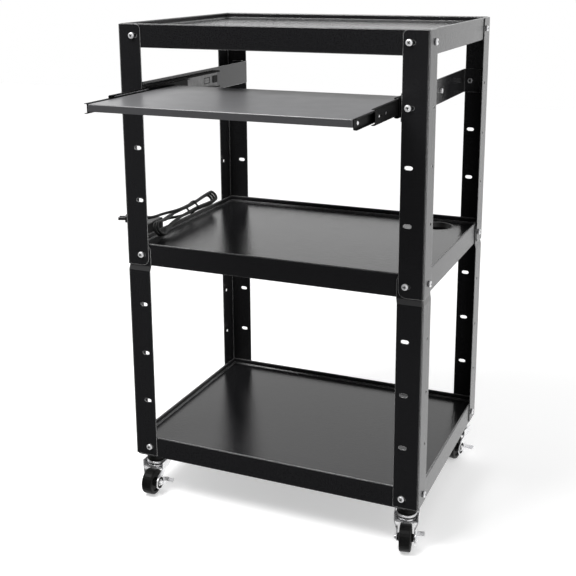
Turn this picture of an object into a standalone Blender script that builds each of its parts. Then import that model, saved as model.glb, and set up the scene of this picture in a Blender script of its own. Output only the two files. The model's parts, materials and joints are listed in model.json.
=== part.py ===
"""Steel audio visual cart: three tray shelves, four spliced angle legs, a pull-out tray on
ball slides, a three-outlet power box with its hanked cord, and four braked swivel casters.

Metres, +Z up. X runs across the cart, -Y is its front. The origin lies on the floor, under
the middle of the cart as it stands with the tray drawn out.
"""
import math

import bmesh
import bpy
from mathutils import Matrix, Vector

for old in list(bpy.data.objects):
    bpy.data.objects.remove(old, do_unlink=True)

# Driving sizes of the whole cart
CART_WIDTH = 0.610
CART_DEPTH = 0.457
SEAT_GAP = 0.0003
CUT_OVERRUN = 0.004

# Angle legs
LEG_SHEET = 0.0015
LEG_BEND_RADIUS = 0.0030
UPPER_FLANGE = 0.0477
LOWER_FLANGE = 0.0496
HOLE_FROM_CORNER = 0.0330
HOLE_PITCH = 0.104
END_HOLE_PITCH = 0.111
BOTTOM_HOLE_HEIGHT = 0.1090
SLOT_LENGTH = 0.0155
SLOT_HEIGHT = 0.0072
SIDE_HOLE_DIAMETER = 0.0074
TOP_CORNER_RADIUS = 0.0090
SPLICE_CORNER_RADIUS = 0.0140
LEG_TOP_BELOW_RIM = 0.0010
SPLICE_ABOVE_RIM_FOOT = 0.0010
JOGGLE_DROP = 0.0020
JOGGLE_LENGTH = 0.0100
NECK_BELOW_RIM_TOP = 0.0040
LEG_FOOT_ABOVE_RIM_FOOT = 0.0040

# Tray shelves
SHELF_SHEET = 0.0012
RIM_HEIGHT = 0.045
DECK_RECESS = 0.0120
HEM_GAP = 0.0016
RIM_FOOT_RETURN = 0.0160
SHELF_CORNER_RADIUS = 0.0040
SHEET_BEND_RADIUS = 0.0020

# Screws
SCREW_SHANK_RADIUS = 0.0025
SCREW_HEAD_RADIUS = 0.0060
SCREW_HEAD_HEIGHT = 0.0030
SCREW_REACH = 0.0080
SCREW_SHIFTS = {"bottom": 0.0, "middle": 0.0018, "slide": 0.0035, "top": 0.0035}
SMALL_HEAD_RADIUS = 0.0036
SMALL_HEAD_HEIGHT = 0.0016
SMALL_SHANK_RADIUS = 0.0019
HOLE_CLEARANCE = 0.0005

# Slide brackets, slides and tray
BRACKET_SHEET = 0.0015
BRACKET_HEIGHT = 0.049
BRACKET_TAB = 0.036
BRACKET_BEND = 0.0024
BRACKET_INSIDE_FLANGE = 0.0028
SLIDE_THICKNESS = 0.0125
SLIDE_SHEET = 0.0010
SLIDE_BEND = 0.0012
OUTER_HEIGHT = 0.036
MIDDLE_HEIGHT = 0.027
INNER_HEIGHT = 0.018
OUTER_DEPTH = 0.0092
OUTER_LIP = 0.0028
MIDDLE_WEB = 0.0030
MIDDLE_DEPTH = 0.0068
INNER_DEPTH = 0.0064
OUTER_LENGTH = 0.305
OUTER_BOLT_FROM_END = 0.040
MIDDLE_LENGTH = 0.290
OUTER_AHEAD_OF_LEG = 0.0040
MIDDLE_DRAWN_OUT = 0.1195
CAGE_SHEET = 0.0006
OUTER_CAGE_LENGTH = 0.100
INNER_CAGE_LENGTH = 0.110
OUTER_CAGE_BEHIND_FRONT = 0.0275
INNER_CAGE_BEHIND_FRONT = 0.0170
BUMPER_LENGTH = 0.020
BUMPER_HEIGHT = 0.015
BUMPER_THICKNESS = 0.0011
NUT_RADIUS = 0.0050
NUT_HEIGHT = 0.0036
TRAY_LENGTH = 0.299
INNER_PAST_TRAY = 0.006
INNER_SCREW_FROM_END = 0.018
TRAY_LIP = 0.0130
TRAY_SHEET = 0.0012
TRAY_ABOVE_SLIDE_MIDDLE = 0.0080
TRAY_DRAWN_OUT = 0.203
TRAY_CORNER_RADIUS = 0.0020

# Cable hole and its grommet
GROMMET_FROM_SIDE = 0.0850
GROMMET_FROM_BACK = 0.0575
GROMMET_HOLE_RADIUS = 0.0350
GROMMET_WALL = 0.0028
GROMMET_FLANGE = 0.0045
GROMMET_FLANGE_HEIGHT = 0.0018
GROMMET_DEPTH = 0.0110

# Power box, plug and cord
BOX_REACH = 0.045
BOX_LENGTH = 0.067
BOX_REAR_FROM_MIDDLE = 0.093
BOX_ABOVE_RIM = 0.020
BOX_HEIGHT = 0.089
BOX_EDGE = 0.0030
PLATE_THICKNESS = 0.0022
PLATE_MARGIN = 0.0030
OUTLET_PITCH = 0.0270
OUTLET_SLOT_GAP = 0.0127
OUTLET_SLOT_HEIGHT = 0.0080
OUTLET_SLOT_WIDTH = 0.0022
OUTLET_PIN_RADIUS = 0.0027
OUTLET_PIN_DROP = 0.0110
GLAND_OUT = 0.018
GLAND_ABOVE_RIM = 0.0045
GLAND_LENGTH = 0.024
GLAND_BASE_RADIUS = 0.0062
CORD_DIAMETER = 0.0060
HANK_START = 0.14
HANK_END = 2.62
HANK_PITCH = 0.0073
HANK_POINTS_PER_TURN = 24
TIE_ALONG = 0.024
TIE_LENGTH = 0.0060
TIE_THICKNESS = 0.0012
PLUG_LENGTH = 0.030
PLUG_WIDTH = 0.024
PLUG_HEIGHT = 0.0150
PLUG_HEADING_DEGREES = 200.0
PLUG_BACK_FROM_BOX_FRONT = 0.014
PLUG_IN_FROM_BOX_SIDE = 0.022
BLADE_LENGTH = 0.0155
BLADE_HEIGHT = 0.0062
BLADE_THICKNESS = 0.0016

# Places along the rim where the hank changes: how far along it, how far its lowest strand
# lies outside the rim's middle and above it, its width, and its lean in degrees
HANK_STATIONS = [(-0.138, -0.0150, -DECK_RECESS, 0.028, 64.0), (-0.100, -0.0045, -0.0040, 0.0165, 72.0),
                 (-0.055, -0.0005, 0.0, 0.014, 62.0), (0.024, -0.0005, 0.0016, 0.013, 50.0),
                 (0.117, -0.0005, 0.0, 0.021, 50.0)]

# Crest of the cord's tail where it crosses from the hank to the box: along, outside and above
TAIL_CREST = (-0.080, -0.0020, 0.0236)
TAIL_CREST_WAY = (-0.30, -0.954, 0.0)

# Casters
CASTER_FROM_FACE = 0.0300
CASTER_TRAIL = 0.0228
WHEEL_RADIUS = 0.0265
WHEEL_WIDTH = 0.0225
WHEEL_EDGE = 0.0028
WHEEL_DISH = 0.0030
WHEEL_RIM_SHARE = 0.74
HUB_WIDTH = 0.0310
HUB_RADIUS = 0.0085
AXLE_RADIUS = 0.0035
RUNNING_CLEARANCE = 0.00009
AXLE_HEAD_RADIUS = 0.0060
AXLE_HEAD_HEIGHT = 0.0034
FORK_SHEET = 0.0018
FORK_CROWN_HALF_WIDTH = 0.0235
FORK_CROWN_HALF_DEPTH = 0.0190
FORK_CROWN_CORNER = 0.0080
FORK_CROWN_HEIGHT = 0.0548
FORK_ARM_TOP = 0.0340
FORK_SHOULDER_RISE = 0.0120
FORK_ARM_FOOT_RADIUS = 0.0085
RACE_RADIUS = 0.0190
RACE_HEIGHT = 0.0055
RACE_WALL = 0.0016
HEAD_RADIUS = 0.0212
CUP_RADIUS = 0.0195
CUP_SEAT_HEIGHT = 0.0705
CUP_WALL = 0.0020
STEM_RADIUS = 0.0055
STEM_LENGTH = 0.0360
SOCKET_WALL = 0.0030
LEVER_THICKNESS = 0.0015
LEVER_DISC_RADIUS = 0.0140
LEVER_WING_REACH = 0.0165
LEVER_WING_WIDTH = 0.0100
LEVER_REACH = 0.0360
LEVER_WING_DROP = 0.0080
LEVER_WING_TILT = 0.45

# Angles at rest of the four casters about the vertical, in degrees from straight ahead
SWIVEL_DEGREES = {"front_left": 1.0, "front_right": 12.0, "rear_left": 6.0, "rear_right": -10.0}

# Heights and places that follow from the driving sizes
HALF_WIDTH = CART_WIDTH / 2
HALF_DEPTH = CART_DEPTH / 2
LOWER_HOLES = [BOTTOM_HOLE_HEIGHT + n * HOLE_PITCH for n in range(5)]
SPLICE_HOLE = LOWER_HOLES[4]
UPPER_HOLES = [SPLICE_HOLE, SPLICE_HOLE + END_HOLE_PITCH, SPLICE_HOLE + END_HOLE_PITCH + HOLE_PITCH,
               SPLICE_HOLE + END_HOLE_PITCH + 2 * HOLE_PITCH,
               SPLICE_HOLE + 2 * END_HOLE_PITCH + 2 * HOLE_PITCH]
SLIDE_HEIGHT = UPPER_HOLES[3]
TOP_SCREW = UPPER_HOLES[4]
RIM_FEET = {"bottom": BOTTOM_HOLE_HEIGHT - RIM_HEIGHT / 2, "middle": SPLICE_HOLE - RIM_HEIGHT / 2,
            "top": TOP_SCREW - RIM_HEIGHT / 2}
RIM_TOPS = {level: foot + RIM_HEIGHT for level, foot in RIM_FEET.items()}
ONE_LEG_INSET = LEG_SHEET + SEAT_GAP
TWO_LEG_INSET = 2 * ONE_LEG_INSET
SHELF_INSETS = {"bottom": ONE_LEG_INSET, "middle": TWO_LEG_INSET, "top": ONE_LEG_INSET}
LEG_TOP = RIM_TOPS["top"] - LEG_TOP_BELOW_RIM
SPLICE_END = RIM_FEET["middle"] + SPLICE_ABOVE_RIM_FOOT
JOGGLE_TOP = SPLICE_END - JOGGLE_DROP
JOGGLE_FOOT = JOGGLE_TOP - JOGGLE_LENGTH
NECK_TOP = RIM_TOPS["middle"] - NECK_BELOW_RIM_TOP
LEG_FOOT = RIM_FEET["bottom"] + LEG_FOOT_ABOVE_RIM_FOOT
RIM_THICKNESS = 2 * SHELF_SHEET + HEM_GAP
MIDDLE_RIM_SIDE = HALF_WIDTH - SHELF_INSETS["middle"]
HEAD_PROUD = SEAT_GAP + SCREW_HEAD_HEIGHT

BRACKET_FACE = HALF_WIDTH - UPPER_FLANGE - BRACKET_INSIDE_FLANGE
TRAY_HALF_WIDTH = BRACKET_FACE - SLIDE_THICKNESS
LEG_FRONT = -HALF_DEPTH
OUTER_FRONT = LEG_FRONT - OUTER_AHEAD_OF_LEG
MIDDLE_FRONT = OUTER_FRONT - MIDDLE_DRAWN_OUT
TRAY_FRONT = LEG_FRONT - TRAY_DRAWN_OUT
TRAY_TOP = SLIDE_HEIGHT + TRAY_ABOVE_SLIDE_MIDDLE

BOX_INNER_SIDE = -MIDDLE_RIM_SIDE - SEAT_GAP
BOX_OUTER_SIDE = BOX_INNER_SIDE - BOX_REACH
BOX_REAR = -BOX_REAR_FROM_MIDDLE
BOX_FRONT = BOX_REAR - BOX_LENGTH
BOX_TOP = RIM_TOPS["middle"] + BOX_ABOVE_RIM
BOX_FOOT = BOX_TOP - BOX_HEIGHT
CORD_RADIUS = CORD_DIAMETER / 2

# Outermost of the screw heads and the brake wings on the right-hand side
LEVER_OUT = HUB_WIDTH / 2 + 2 * SEAT_GAP + FORK_SHEET + LEVER_WING_REACH
WING_SIDES = [HALF_WIDTH - CASTER_FROM_FACE + LEVER_OUT * math.cos(math.radians(SWIVEL_DEGREES[corner]))
              - (LEVER_REACH - CASTER_TRAIL) * math.sin(math.radians(SWIVEL_DEGREES[corner]))
              for corner in ("front_right", "rear_right")]
RIGHT_SIDE = max([HALF_WIDTH + HEAD_PROUD] + WING_SIDES)

# The cart's middle in plan, tray drawn out, which the model is set over the origin by
PLAN_MIDDLE = Vector((
    (BOX_OUTER_SIDE + RIGHT_SIDE) / 2,
    (TRAY_FRONT + HALF_DEPTH + HEAD_PROUD) / 2, 0.0))

SIDES = {"left": -1, "right": 1}
CORNERS = {"front_left": (-1, -1), "front_right": (1, -1), "rear_left": (-1, 1), "rear_right": (1, 1)}


def material(name, colour, roughness, metallic):
    """A plain Principled surface."""
    made = bpy.data.materials.new(name)
    made.use_nodes = True
    shader = made.node_tree.nodes["Principled BSDF"]
    shader.inputs["Base Color"].default_value = (*colour, 1.0)
    shader.inputs["Roughness"].default_value = roughness
    shader.inputs["Metallic"].default_value = metallic
    made.diffuse_color = (*colour, 1.0)
    return made


COAT = material("black_powder_coat", (0.018, 0.018, 0.019), 0.38, 0.0)
SLIDE_STEEL = material("black_slide_steel", (0.03, 0.03, 0.032), 0.32, 0.6)
ZINC = material("bright_zinc", (0.72, 0.73, 0.75), 0.24, 1.0)
RUBBER = material("black_rubber", (0.015, 0.015, 0.015), 0.55, 0.0)
PLASTIC = material("black_plastic", (0.02, 0.02, 0.02), 0.45, 0.0)
JACKET = material("cord_jacket", (0.02, 0.02, 0.02), 0.5, 0.0)
BRASS = material("plug_brass", (0.75, 0.62, 0.32), 0.3, 1.0)

origin = bpy.data.objects.new("cart_middle", None)
bpy.context.scene.collection.objects.link(origin)
origin.location = -PLAN_MIDDLE


def add_object(name, mesh, surface, pivot=None, smooth_degrees=None):
    """Link a mesh, given in the cart's own frame, as an object whose origin is its pivot."""
    made = bpy.data.objects.new(name, mesh)
    bpy.context.scene.collection.objects.link(made)
    made.parent = origin
    if pivot is not None:
        mesh.transform(Matrix.Translation(-Vector(pivot)))
        made.location = pivot
    if surface is not None:
        mesh.materials.append(surface)
    if smooth_degrees is not None:
        mesh.shade_smooth()
        mesh.set_sharp_from_angle(angle=math.radians(smooth_degrees))
    return made


def mesh_from(builder, name):
    """Turn a bmesh into a mesh with its faces pointing out."""
    bmesh.ops.recalc_face_normals(builder, faces=builder.faces[:])
    mesh = bpy.data.meshes.new(name)
    builder.to_mesh(mesh)
    builder.free()
    return mesh


def combine(target, builder, operation):
    """Cut or join a guide shape into an object with a Boolean modifier."""
    guide = add_object(target.name + "_" + operation.lower() + "_guide",
                       mesh_from(builder, target.name + "_guide"), None)
    guide.hide_render = True
    guide.display_type = "WIRE"
    step = target.modifiers.new(operation.title(), "BOOLEAN")
    step.operation = operation
    step.solver = "EXACT"
    step.object = guide
    return guide


def loft(builder, rings, closed=False):
    """Skin closed rings of equal count; the ends are capped unless the rings run round."""
    rows = [[builder.verts.new(point) for point in ring] for ring in rings]
    count = len(rows[0])
    pairs = list(zip(rows, rows[1:]))
    if closed:
        pairs.append((rows[-1], rows[0]))
    for low, high in pairs:
        for i in range(count):
            j = (i + 1) % count
            builder.faces.new((low[i], low[j], high[j], high[i]))
    if not closed:
        builder.faces.new(list(reversed(rows[0])))
        builder.faces.new(rows[-1])
    return rows


def prism(builder, outline, place, low, high):
    """Extrude a flat outline; place(u, v, w) puts it in the cart's frame."""
    loft(builder, [[place(u, v, low) for u, v in outline], [place(u, v, high) for u, v in outline]])


def lathe(builder, profile, place, segments):
    """Turn (radius, along) points about an axis; zero radii at the ends become one point."""
    rows = []
    for radius, along in profile:
        if radius == 0:
            rows.append([builder.verts.new(place(0.0, 0.0, along))])
            continue
        rows.append([builder.verts.new(place(radius * math.cos(turn), radius * math.sin(turn), along))
                     for turn in (2 * math.pi * (i + 0.5) / segments for i in range(segments))])
    for low, high in zip(rows, rows[1:]):
        for i in range(segments):
            j = (i + 1) % segments
            if len(low) == 1:
                builder.faces.new((low[0], high[j], high[i]))
            elif len(high) == 1:
                builder.faces.new((low[i], low[j], high[0]))
            else:
                builder.faces.new((low[i], low[j], high[j], high[i]))
    if len(rows[0]) > 1:
        builder.faces.new(list(reversed(rows[0])))
    if len(rows[-1]) > 1:
        builder.faces.new(rows[-1])


def ring_lathe(builder, profile, place, segments):
    """Turn a closed (radius, along) outline that stays off the axis, so the middle is open."""
    rings = []
    for i in range(segments):
        turn = 2 * math.pi * (i + 0.5) / segments
        rings.append([place(radius * math.cos(turn), radius * math.sin(turn), along)
                      for radius, along in profile])
    loft(builder, rings, closed=True)


def arc(centre, radius, start, end, steps):
    """Points on an arc, angles in degrees."""
    turns = [math.radians(start + (end - start) * i / steps) for i in range(steps + 1)]
    return [(centre[0] + radius * math.cos(turn), centre[1] + radius * math.sin(turn)) for turn in turns]


def rounded_box(half_u, half_v, radius, steps=3):
    """A rectangle about its middle with round corners."""
    points = []
    for sign_u, sign_v, start in ((1, 1, 0), (-1, 1, 90), (-1, -1, 180), (1, -1, 270)):
        centre = (sign_u * (half_u - radius), sign_v * (half_v - radius))
        points += arc(centre, radius, start, start + 90, steps)
    return points


def slot_outline(u, v, length, height, steps=3):
    """A slot with round ends, or a round hole where length equals height."""
    radius = height / 2
    reach = (length - height) / 2
    right = arc((u + reach, v), radius, -90, 90, steps)
    left = arc((u - reach, v), radius, 90, 270, steps)
    if reach == 0:
        return right[:-1] + left[:-1]
    return right + left


def bent_strip(points, thickness, radius, steps=3):
    """Outline of a sheet bent along a centre line, with a round bend at each inner point."""
    left, right = [], []

    def side(point, direction, outline, offset):
        outline.append((point[0] - direction[1] * offset, point[1] + direction[0] * offset))

    directions = []
    for a, b in zip(points, points[1:]):
        length = math.hypot(b[0] - a[0], b[1] - a[1])
        directions.append(((b[0] - a[0]) / length, (b[1] - a[1]) / length))
    side(points[0], directions[0], left, thickness / 2)
    side(points[0], directions[0], right, -thickness / 2)
    for corner, before, after in zip(points[1:], directions, directions[1:]):
        cross = before[0] * after[1] - before[1] * after[0]
        turn = math.atan2(cross, before[0] * after[0] + before[1] * after[1])
        sign = 1 if turn > 0 else -1
        back = radius * math.tan(abs(turn) / 2)
        tangent = (corner[0] - before[0] * back, corner[1] - before[1] * back)
        centre = (tangent[0] - before[1] * radius * sign, tangent[1] + before[0] * radius * sign)
        start = math.atan2(tangent[1] - centre[1], tangent[0] - centre[0])
        for i in range(steps + 1):
            angle = start + turn * i / steps
            unit = (math.cos(angle), math.sin(angle))
            near, far = radius - sign * thickness / 2, radius + sign * thickness / 2
            left.append((centre[0] + unit[0] * near, centre[1] + unit[1] * near))
            right.append((centre[0] + unit[0] * far, centre[1] + unit[1] * far))
    side(points[-1], directions[-1], left, thickness / 2)
    side(points[-1], directions[-1], right, -thickness / 2)
    return left + list(reversed(right))


def screw(builder, place, inner, seat, head_radius, head_height, shank_radius, segments=10):
    """A pan head screw along w: its shank from inner to the seat, its head beyond it."""
    lathe(builder, [(shank_radius, inner), (shank_radius, seat), (head_radius, seat),
                    (head_radius, seat + head_height * 0.4), (head_radius * 0.6, seat + head_height)],
          place, segments)


# Legs

def angle_outline(flange, inset):
    """Plan of an equal angle whose outer corner is at zero and whose flanges run inwards."""
    inner_bend = LEG_BEND_RADIUS - LEG_SHEET
    outer = arc((LEG_BEND_RADIUS, LEG_BEND_RADIUS), LEG_BEND_RADIUS, 180, 270, 2)
    inner = arc((LEG_BEND_RADIUS, LEG_BEND_RADIUS), inner_bend, 270, 180, 2)
    outline = [(0.0, flange)] + outer + [(flange, 0.0), (flange, LEG_SHEET)] + inner + [(LEG_SHEET, flange)]
    return [(u + inset, v + inset) for u, v in outline]


def corner_place(signs):
    """Maps distances in from a cart corner, and a height, to the cart's frame."""
    return lambda u, v, w: (signs[0] * (HALF_WIDTH - u), signs[1] * (HALF_DEPTH - v), w)


def corner_cut(edge, end, radius, outwards):
    """The waste outside a rounded sheet corner, in (distance from leg corner, height)."""
    centre = (edge - radius, end - outwards * radius)
    start = 0 if outwards > 0 else -90
    curve = arc(centre, radius, start, start + 90, 4)
    if outwards < 0:
        curve.reverse()
    far = (edge + CUT_OVERRUN, end + outwards * CUT_OVERRUN)
    return [(far[0], curve[0][1])] + curve + [(curve[-1][0], far[1]), far]


def make_leg(name, signs, sections, flange, holes, rounded_ends):
    """One spliced length of angle with slots in its front or back flange, holes in its side."""
    place = corner_place(signs)
    builder = bmesh.new()
    loft(builder, [[place(u, v, height) for u, v in angle_outline(flange, inset)]
                   for height, inset in sections])
    leg = add_object(name, mesh_from(builder, name), COAT)
    waste = bmesh.new()
    deep = ONE_LEG_INSET + LEG_SHEET + CUT_OVERRUN
    for height in holes:
        prism(waste, slot_outline(HOLE_FROM_CORNER, height, SLOT_LENGTH, SLOT_HEIGHT),
              lambda u, v, w: place(u, w, v), -CUT_OVERRUN, deep)
        prism(waste, slot_outline(HOLE_FROM_CORNER, height, SIDE_HOLE_DIAMETER, SIDE_HOLE_DIAMETER, 4),
              lambda u, v, w: place(w, u, v), -CUT_OVERRUN, deep)
    for end, radius, outwards, inset in rounded_ends:
        outline = corner_cut(flange + inset, end, radius, outwards)
        prism(waste, outline, lambda u, v, w: place(u, w, v), -CUT_OVERRUN, deep)
        prism(waste, outline, lambda u, v, w: place(w, u, v), -CUT_OVERRUN, deep)
    combine(leg, waste, "DIFFERENCE")
    return leg


for corner, signs in CORNERS.items():
    make_leg(corner + "_upper_leg", signs, [(SPLICE_END, 0.0), (LEG_TOP, 0.0)], UPPER_FLANGE, UPPER_HOLES,
             [(LEG_TOP, TOP_CORNER_RADIUS, 1, 0.0), (SPLICE_END, SPLICE_CORNER_RADIUS, -1, 0.0)])
    make_leg(corner + "_lower_leg", signs,
             [(LEG_FOOT, 0.0), (JOGGLE_FOOT, 0.0), (JOGGLE_TOP, ONE_LEG_INSET), (NECK_TOP, ONE_LEG_INSET)],
             LOWER_FLANGE, LOWER_HOLES, [(NECK_TOP, TOP_CORNER_RADIUS, 1, ONE_LEG_INSET)])


# Shelves and tray

def frame_ring(half_x, half_y, inset, height, corner_radius, steps):
    """A level ring of a pressed sheet, set in from its outer walls."""
    radius = max(corner_radius - inset, corner_radius / 4)
    return [(x, y, height) for x, y in rounded_box(half_x - inset, half_y - inset, radius, steps)]


def shelf_profile():
    """Section of a shelf from its deck over the hemmed rim to the foot return and back."""
    sheet, bend = SHELF_SHEET, SHEET_BEND_RADIUS
    deck = RIM_HEIGHT - DECK_RECESS
    hem = RIM_THICKNESS / 2
    crown = RIM_HEIGHT - hem
    profile = arc((RIM_THICKNESS + bend, deck + bend), bend, 270, 180, 1)
    profile += arc((hem, crown), hem, 0, 180, 4)
    profile += arc((bend, bend), bend, 180, 270, 2)
    profile += [(RIM_FOOT_RETURN, 0.0), (RIM_FOOT_RETURN, sheet)]
    profile += arc((bend, bend), bend - sheet, 270, 180, 1)
    profile += arc((hem, crown), hem - sheet, 180, 0, 2)
    profile += arc((RIM_THICKNESS + bend, deck + bend), bend + sheet, 180, 270, 1)
    return profile


def make_shelf(level):
    """A pressed shelf with the eight screws that hold it to the legs."""
    inset = SHELF_INSETS[level]
    half_x, half_y = HALF_WIDTH - inset, HALF_DEPTH - inset
    foot = RIM_FEET[level]
    builder = bmesh.new()
    loft(builder, [frame_ring(half_x, half_y, distance, foot + height, SHELF_CORNER_RADIUS, 2)
                   for distance, height in shelf_profile()])
    shelf = add_object(level + "_shelf", mesh_from(builder, level + "_shelf"), COAT, smooth_degrees=40)
    screws = bmesh.new()
    seat = SEAT_GAP
    height = foot + RIM_HEIGHT / 2
    for sign_x, sign_y in CORNERS.values():
        along = sign_x * (HALF_WIDTH - HOLE_FROM_CORNER) - SCREW_SHIFTS[level]
        screw(screws, lambda u, v, w: (along + u, sign_y * (HALF_DEPTH + w), height + v),
              -inset - SCREW_REACH, seat, SCREW_HEAD_RADIUS, SCREW_HEAD_HEIGHT, SCREW_SHANK_RADIUS)
        across = sign_y * (HALF_DEPTH - HOLE_FROM_CORNER)
        screw(screws, lambda u, v, w: (sign_x * (HALF_WIDTH + w), across + u, height + v),
              -inset - SCREW_REACH, seat, SCREW_HEAD_RADIUS, SCREW_HEAD_HEIGHT, SCREW_SHANK_RADIUS)
    combine(shelf, screws, "UNION")
    return shelf


shelves = {level: make_shelf(level) for level in RIM_FEET}

# Cable hole in the middle shelf, and the ring that lies flush in it
grommet_x = HALF_WIDTH - GROMMET_FROM_SIDE
grommet_y = HALF_DEPTH - GROMMET_FROM_BACK
deck_top = RIM_TOPS["middle"] - DECK_RECESS
hole = bmesh.new()
lathe(hole, [(GROMMET_HOLE_RADIUS, deck_top - SHELF_SHEET - CUT_OVERRUN),
             (GROMMET_HOLE_RADIUS, deck_top + CUT_OVERRUN)],
      lambda u, v, w: (grommet_x + u, grommet_y + v, w), 32)
combine(shelves["middle"], hole, "DIFFERENCE")

neck = GROMMET_HOLE_RADIUS - SEAT_GAP
bore = neck - GROMMET_WALL
rim_out = GROMMET_HOLE_RADIUS + GROMMET_FLANGE
flange_top = deck_top - SHELF_SHEET - SEAT_GAP
flange_foot = flange_top - GROMMET_FLANGE_HEIGHT
ring_foot = deck_top - GROMMET_DEPTH
ring = bmesh.new()
ring_lathe(ring, [(bore, ring_foot), (neck, ring_foot), (neck, flange_foot), (rim_out, flange_foot),
                  (rim_out, flange_top), (neck, flange_top), (neck, deck_top), (bore, deck_top)],
           lambda u, v, w: (grommet_x + u, grommet_y + v, w), 32)
add_object("cable_grommet", mesh_from(ring, "cable_grommet"), PLASTIC, smooth_degrees=40)


# Slide brackets and slides

def side_place(sign):
    """Maps (distance from the bracket face towards the tray, length, height) to the frame."""
    return lambda n, y, z: (sign * (BRACKET_FACE - n), y, z)


def slide_member(name, sign, section, front, length):
    """A rolled slide member: its section in (distance from bracket, height) run along Y."""
    place = side_place(sign)
    builder = bmesh.new()
    prism(builder, section, lambda u, v, w: place(u, w, SLIDE_HEIGHT + v), front, front + length)
    return add_object(name, mesh_from(builder, name), SLIDE_STEEL,
                      pivot=place(SLIDE_THICKNESS / 2, front, SLIDE_HEIGHT))


def channel(web, open_end, height, lip=0.0):
    """Centre line of a channel whose web and flanges keep inside the given height."""
    half = (height - SLIDE_SHEET) / 2
    centre = web + math.copysign(SLIDE_SHEET / 2, open_end - web)
    line = [(open_end, half), (centre, half), (centre, -half), (open_end, -half)]
    if lip > 0:
        tip = open_end - SLIDE_SHEET / 2
        line = [(tip, half - lip), (tip, half), (centre, half), (centre, -half), (tip, -half),
                (tip, -half + lip)]
    return line


def ball_cage(name, sign, web, reach, row_height, front, length):
    """A folded strip that carries the balls between two slide members."""
    place = side_place(sign)
    builder = bmesh.new()
    line = [(reach, row_height), (web, row_height), (web, -row_height), (reach, -row_height)]
    prism(builder, bent_strip(line, CAGE_SHEET, CAGE_SHEET, 2),
          lambda u, v, w: place(u, w, SLIDE_HEIGHT + v), front, front + length)
    cage = add_object(name, mesh_from(builder, name), ZINC, pivot=place(web, front, SLIDE_HEIGHT))
    return cage


bracket_back = BRACKET_SHEET
tab_face = HALF_DEPTH - ONE_LEG_INSET
bracket_foot = SLIDE_HEIGHT - BRACKET_HEIGHT / 2
outer_bolts = [OUTER_FRONT + OUTER_BOLT_FROM_END, OUTER_FRONT + OUTER_LENGTH / 2,
               OUTER_FRONT + OUTER_LENGTH - OUTER_BOLT_FROM_END]
inner_screws = [TRAY_FRONT + INNER_SCREW_FROM_END, TRAY_FRONT + TRAY_LENGTH / 2,
                TRAY_FRONT + TRAY_LENGTH - INNER_SCREW_FROM_END]
inner_web = SLIDE_THICKNESS - SEAT_GAP
inner_open = inner_web - INNER_DEPTH
middle_open = MIDDLE_WEB + MIDDLE_DEPTH
outer_row = (OUTER_HEIGHT + MIDDLE_HEIGHT) / 4 - SLIDE_SHEET / 2
inner_row = (MIDDLE_HEIGHT + INNER_HEIGHT) / 4 - SLIDE_SHEET / 2

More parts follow.
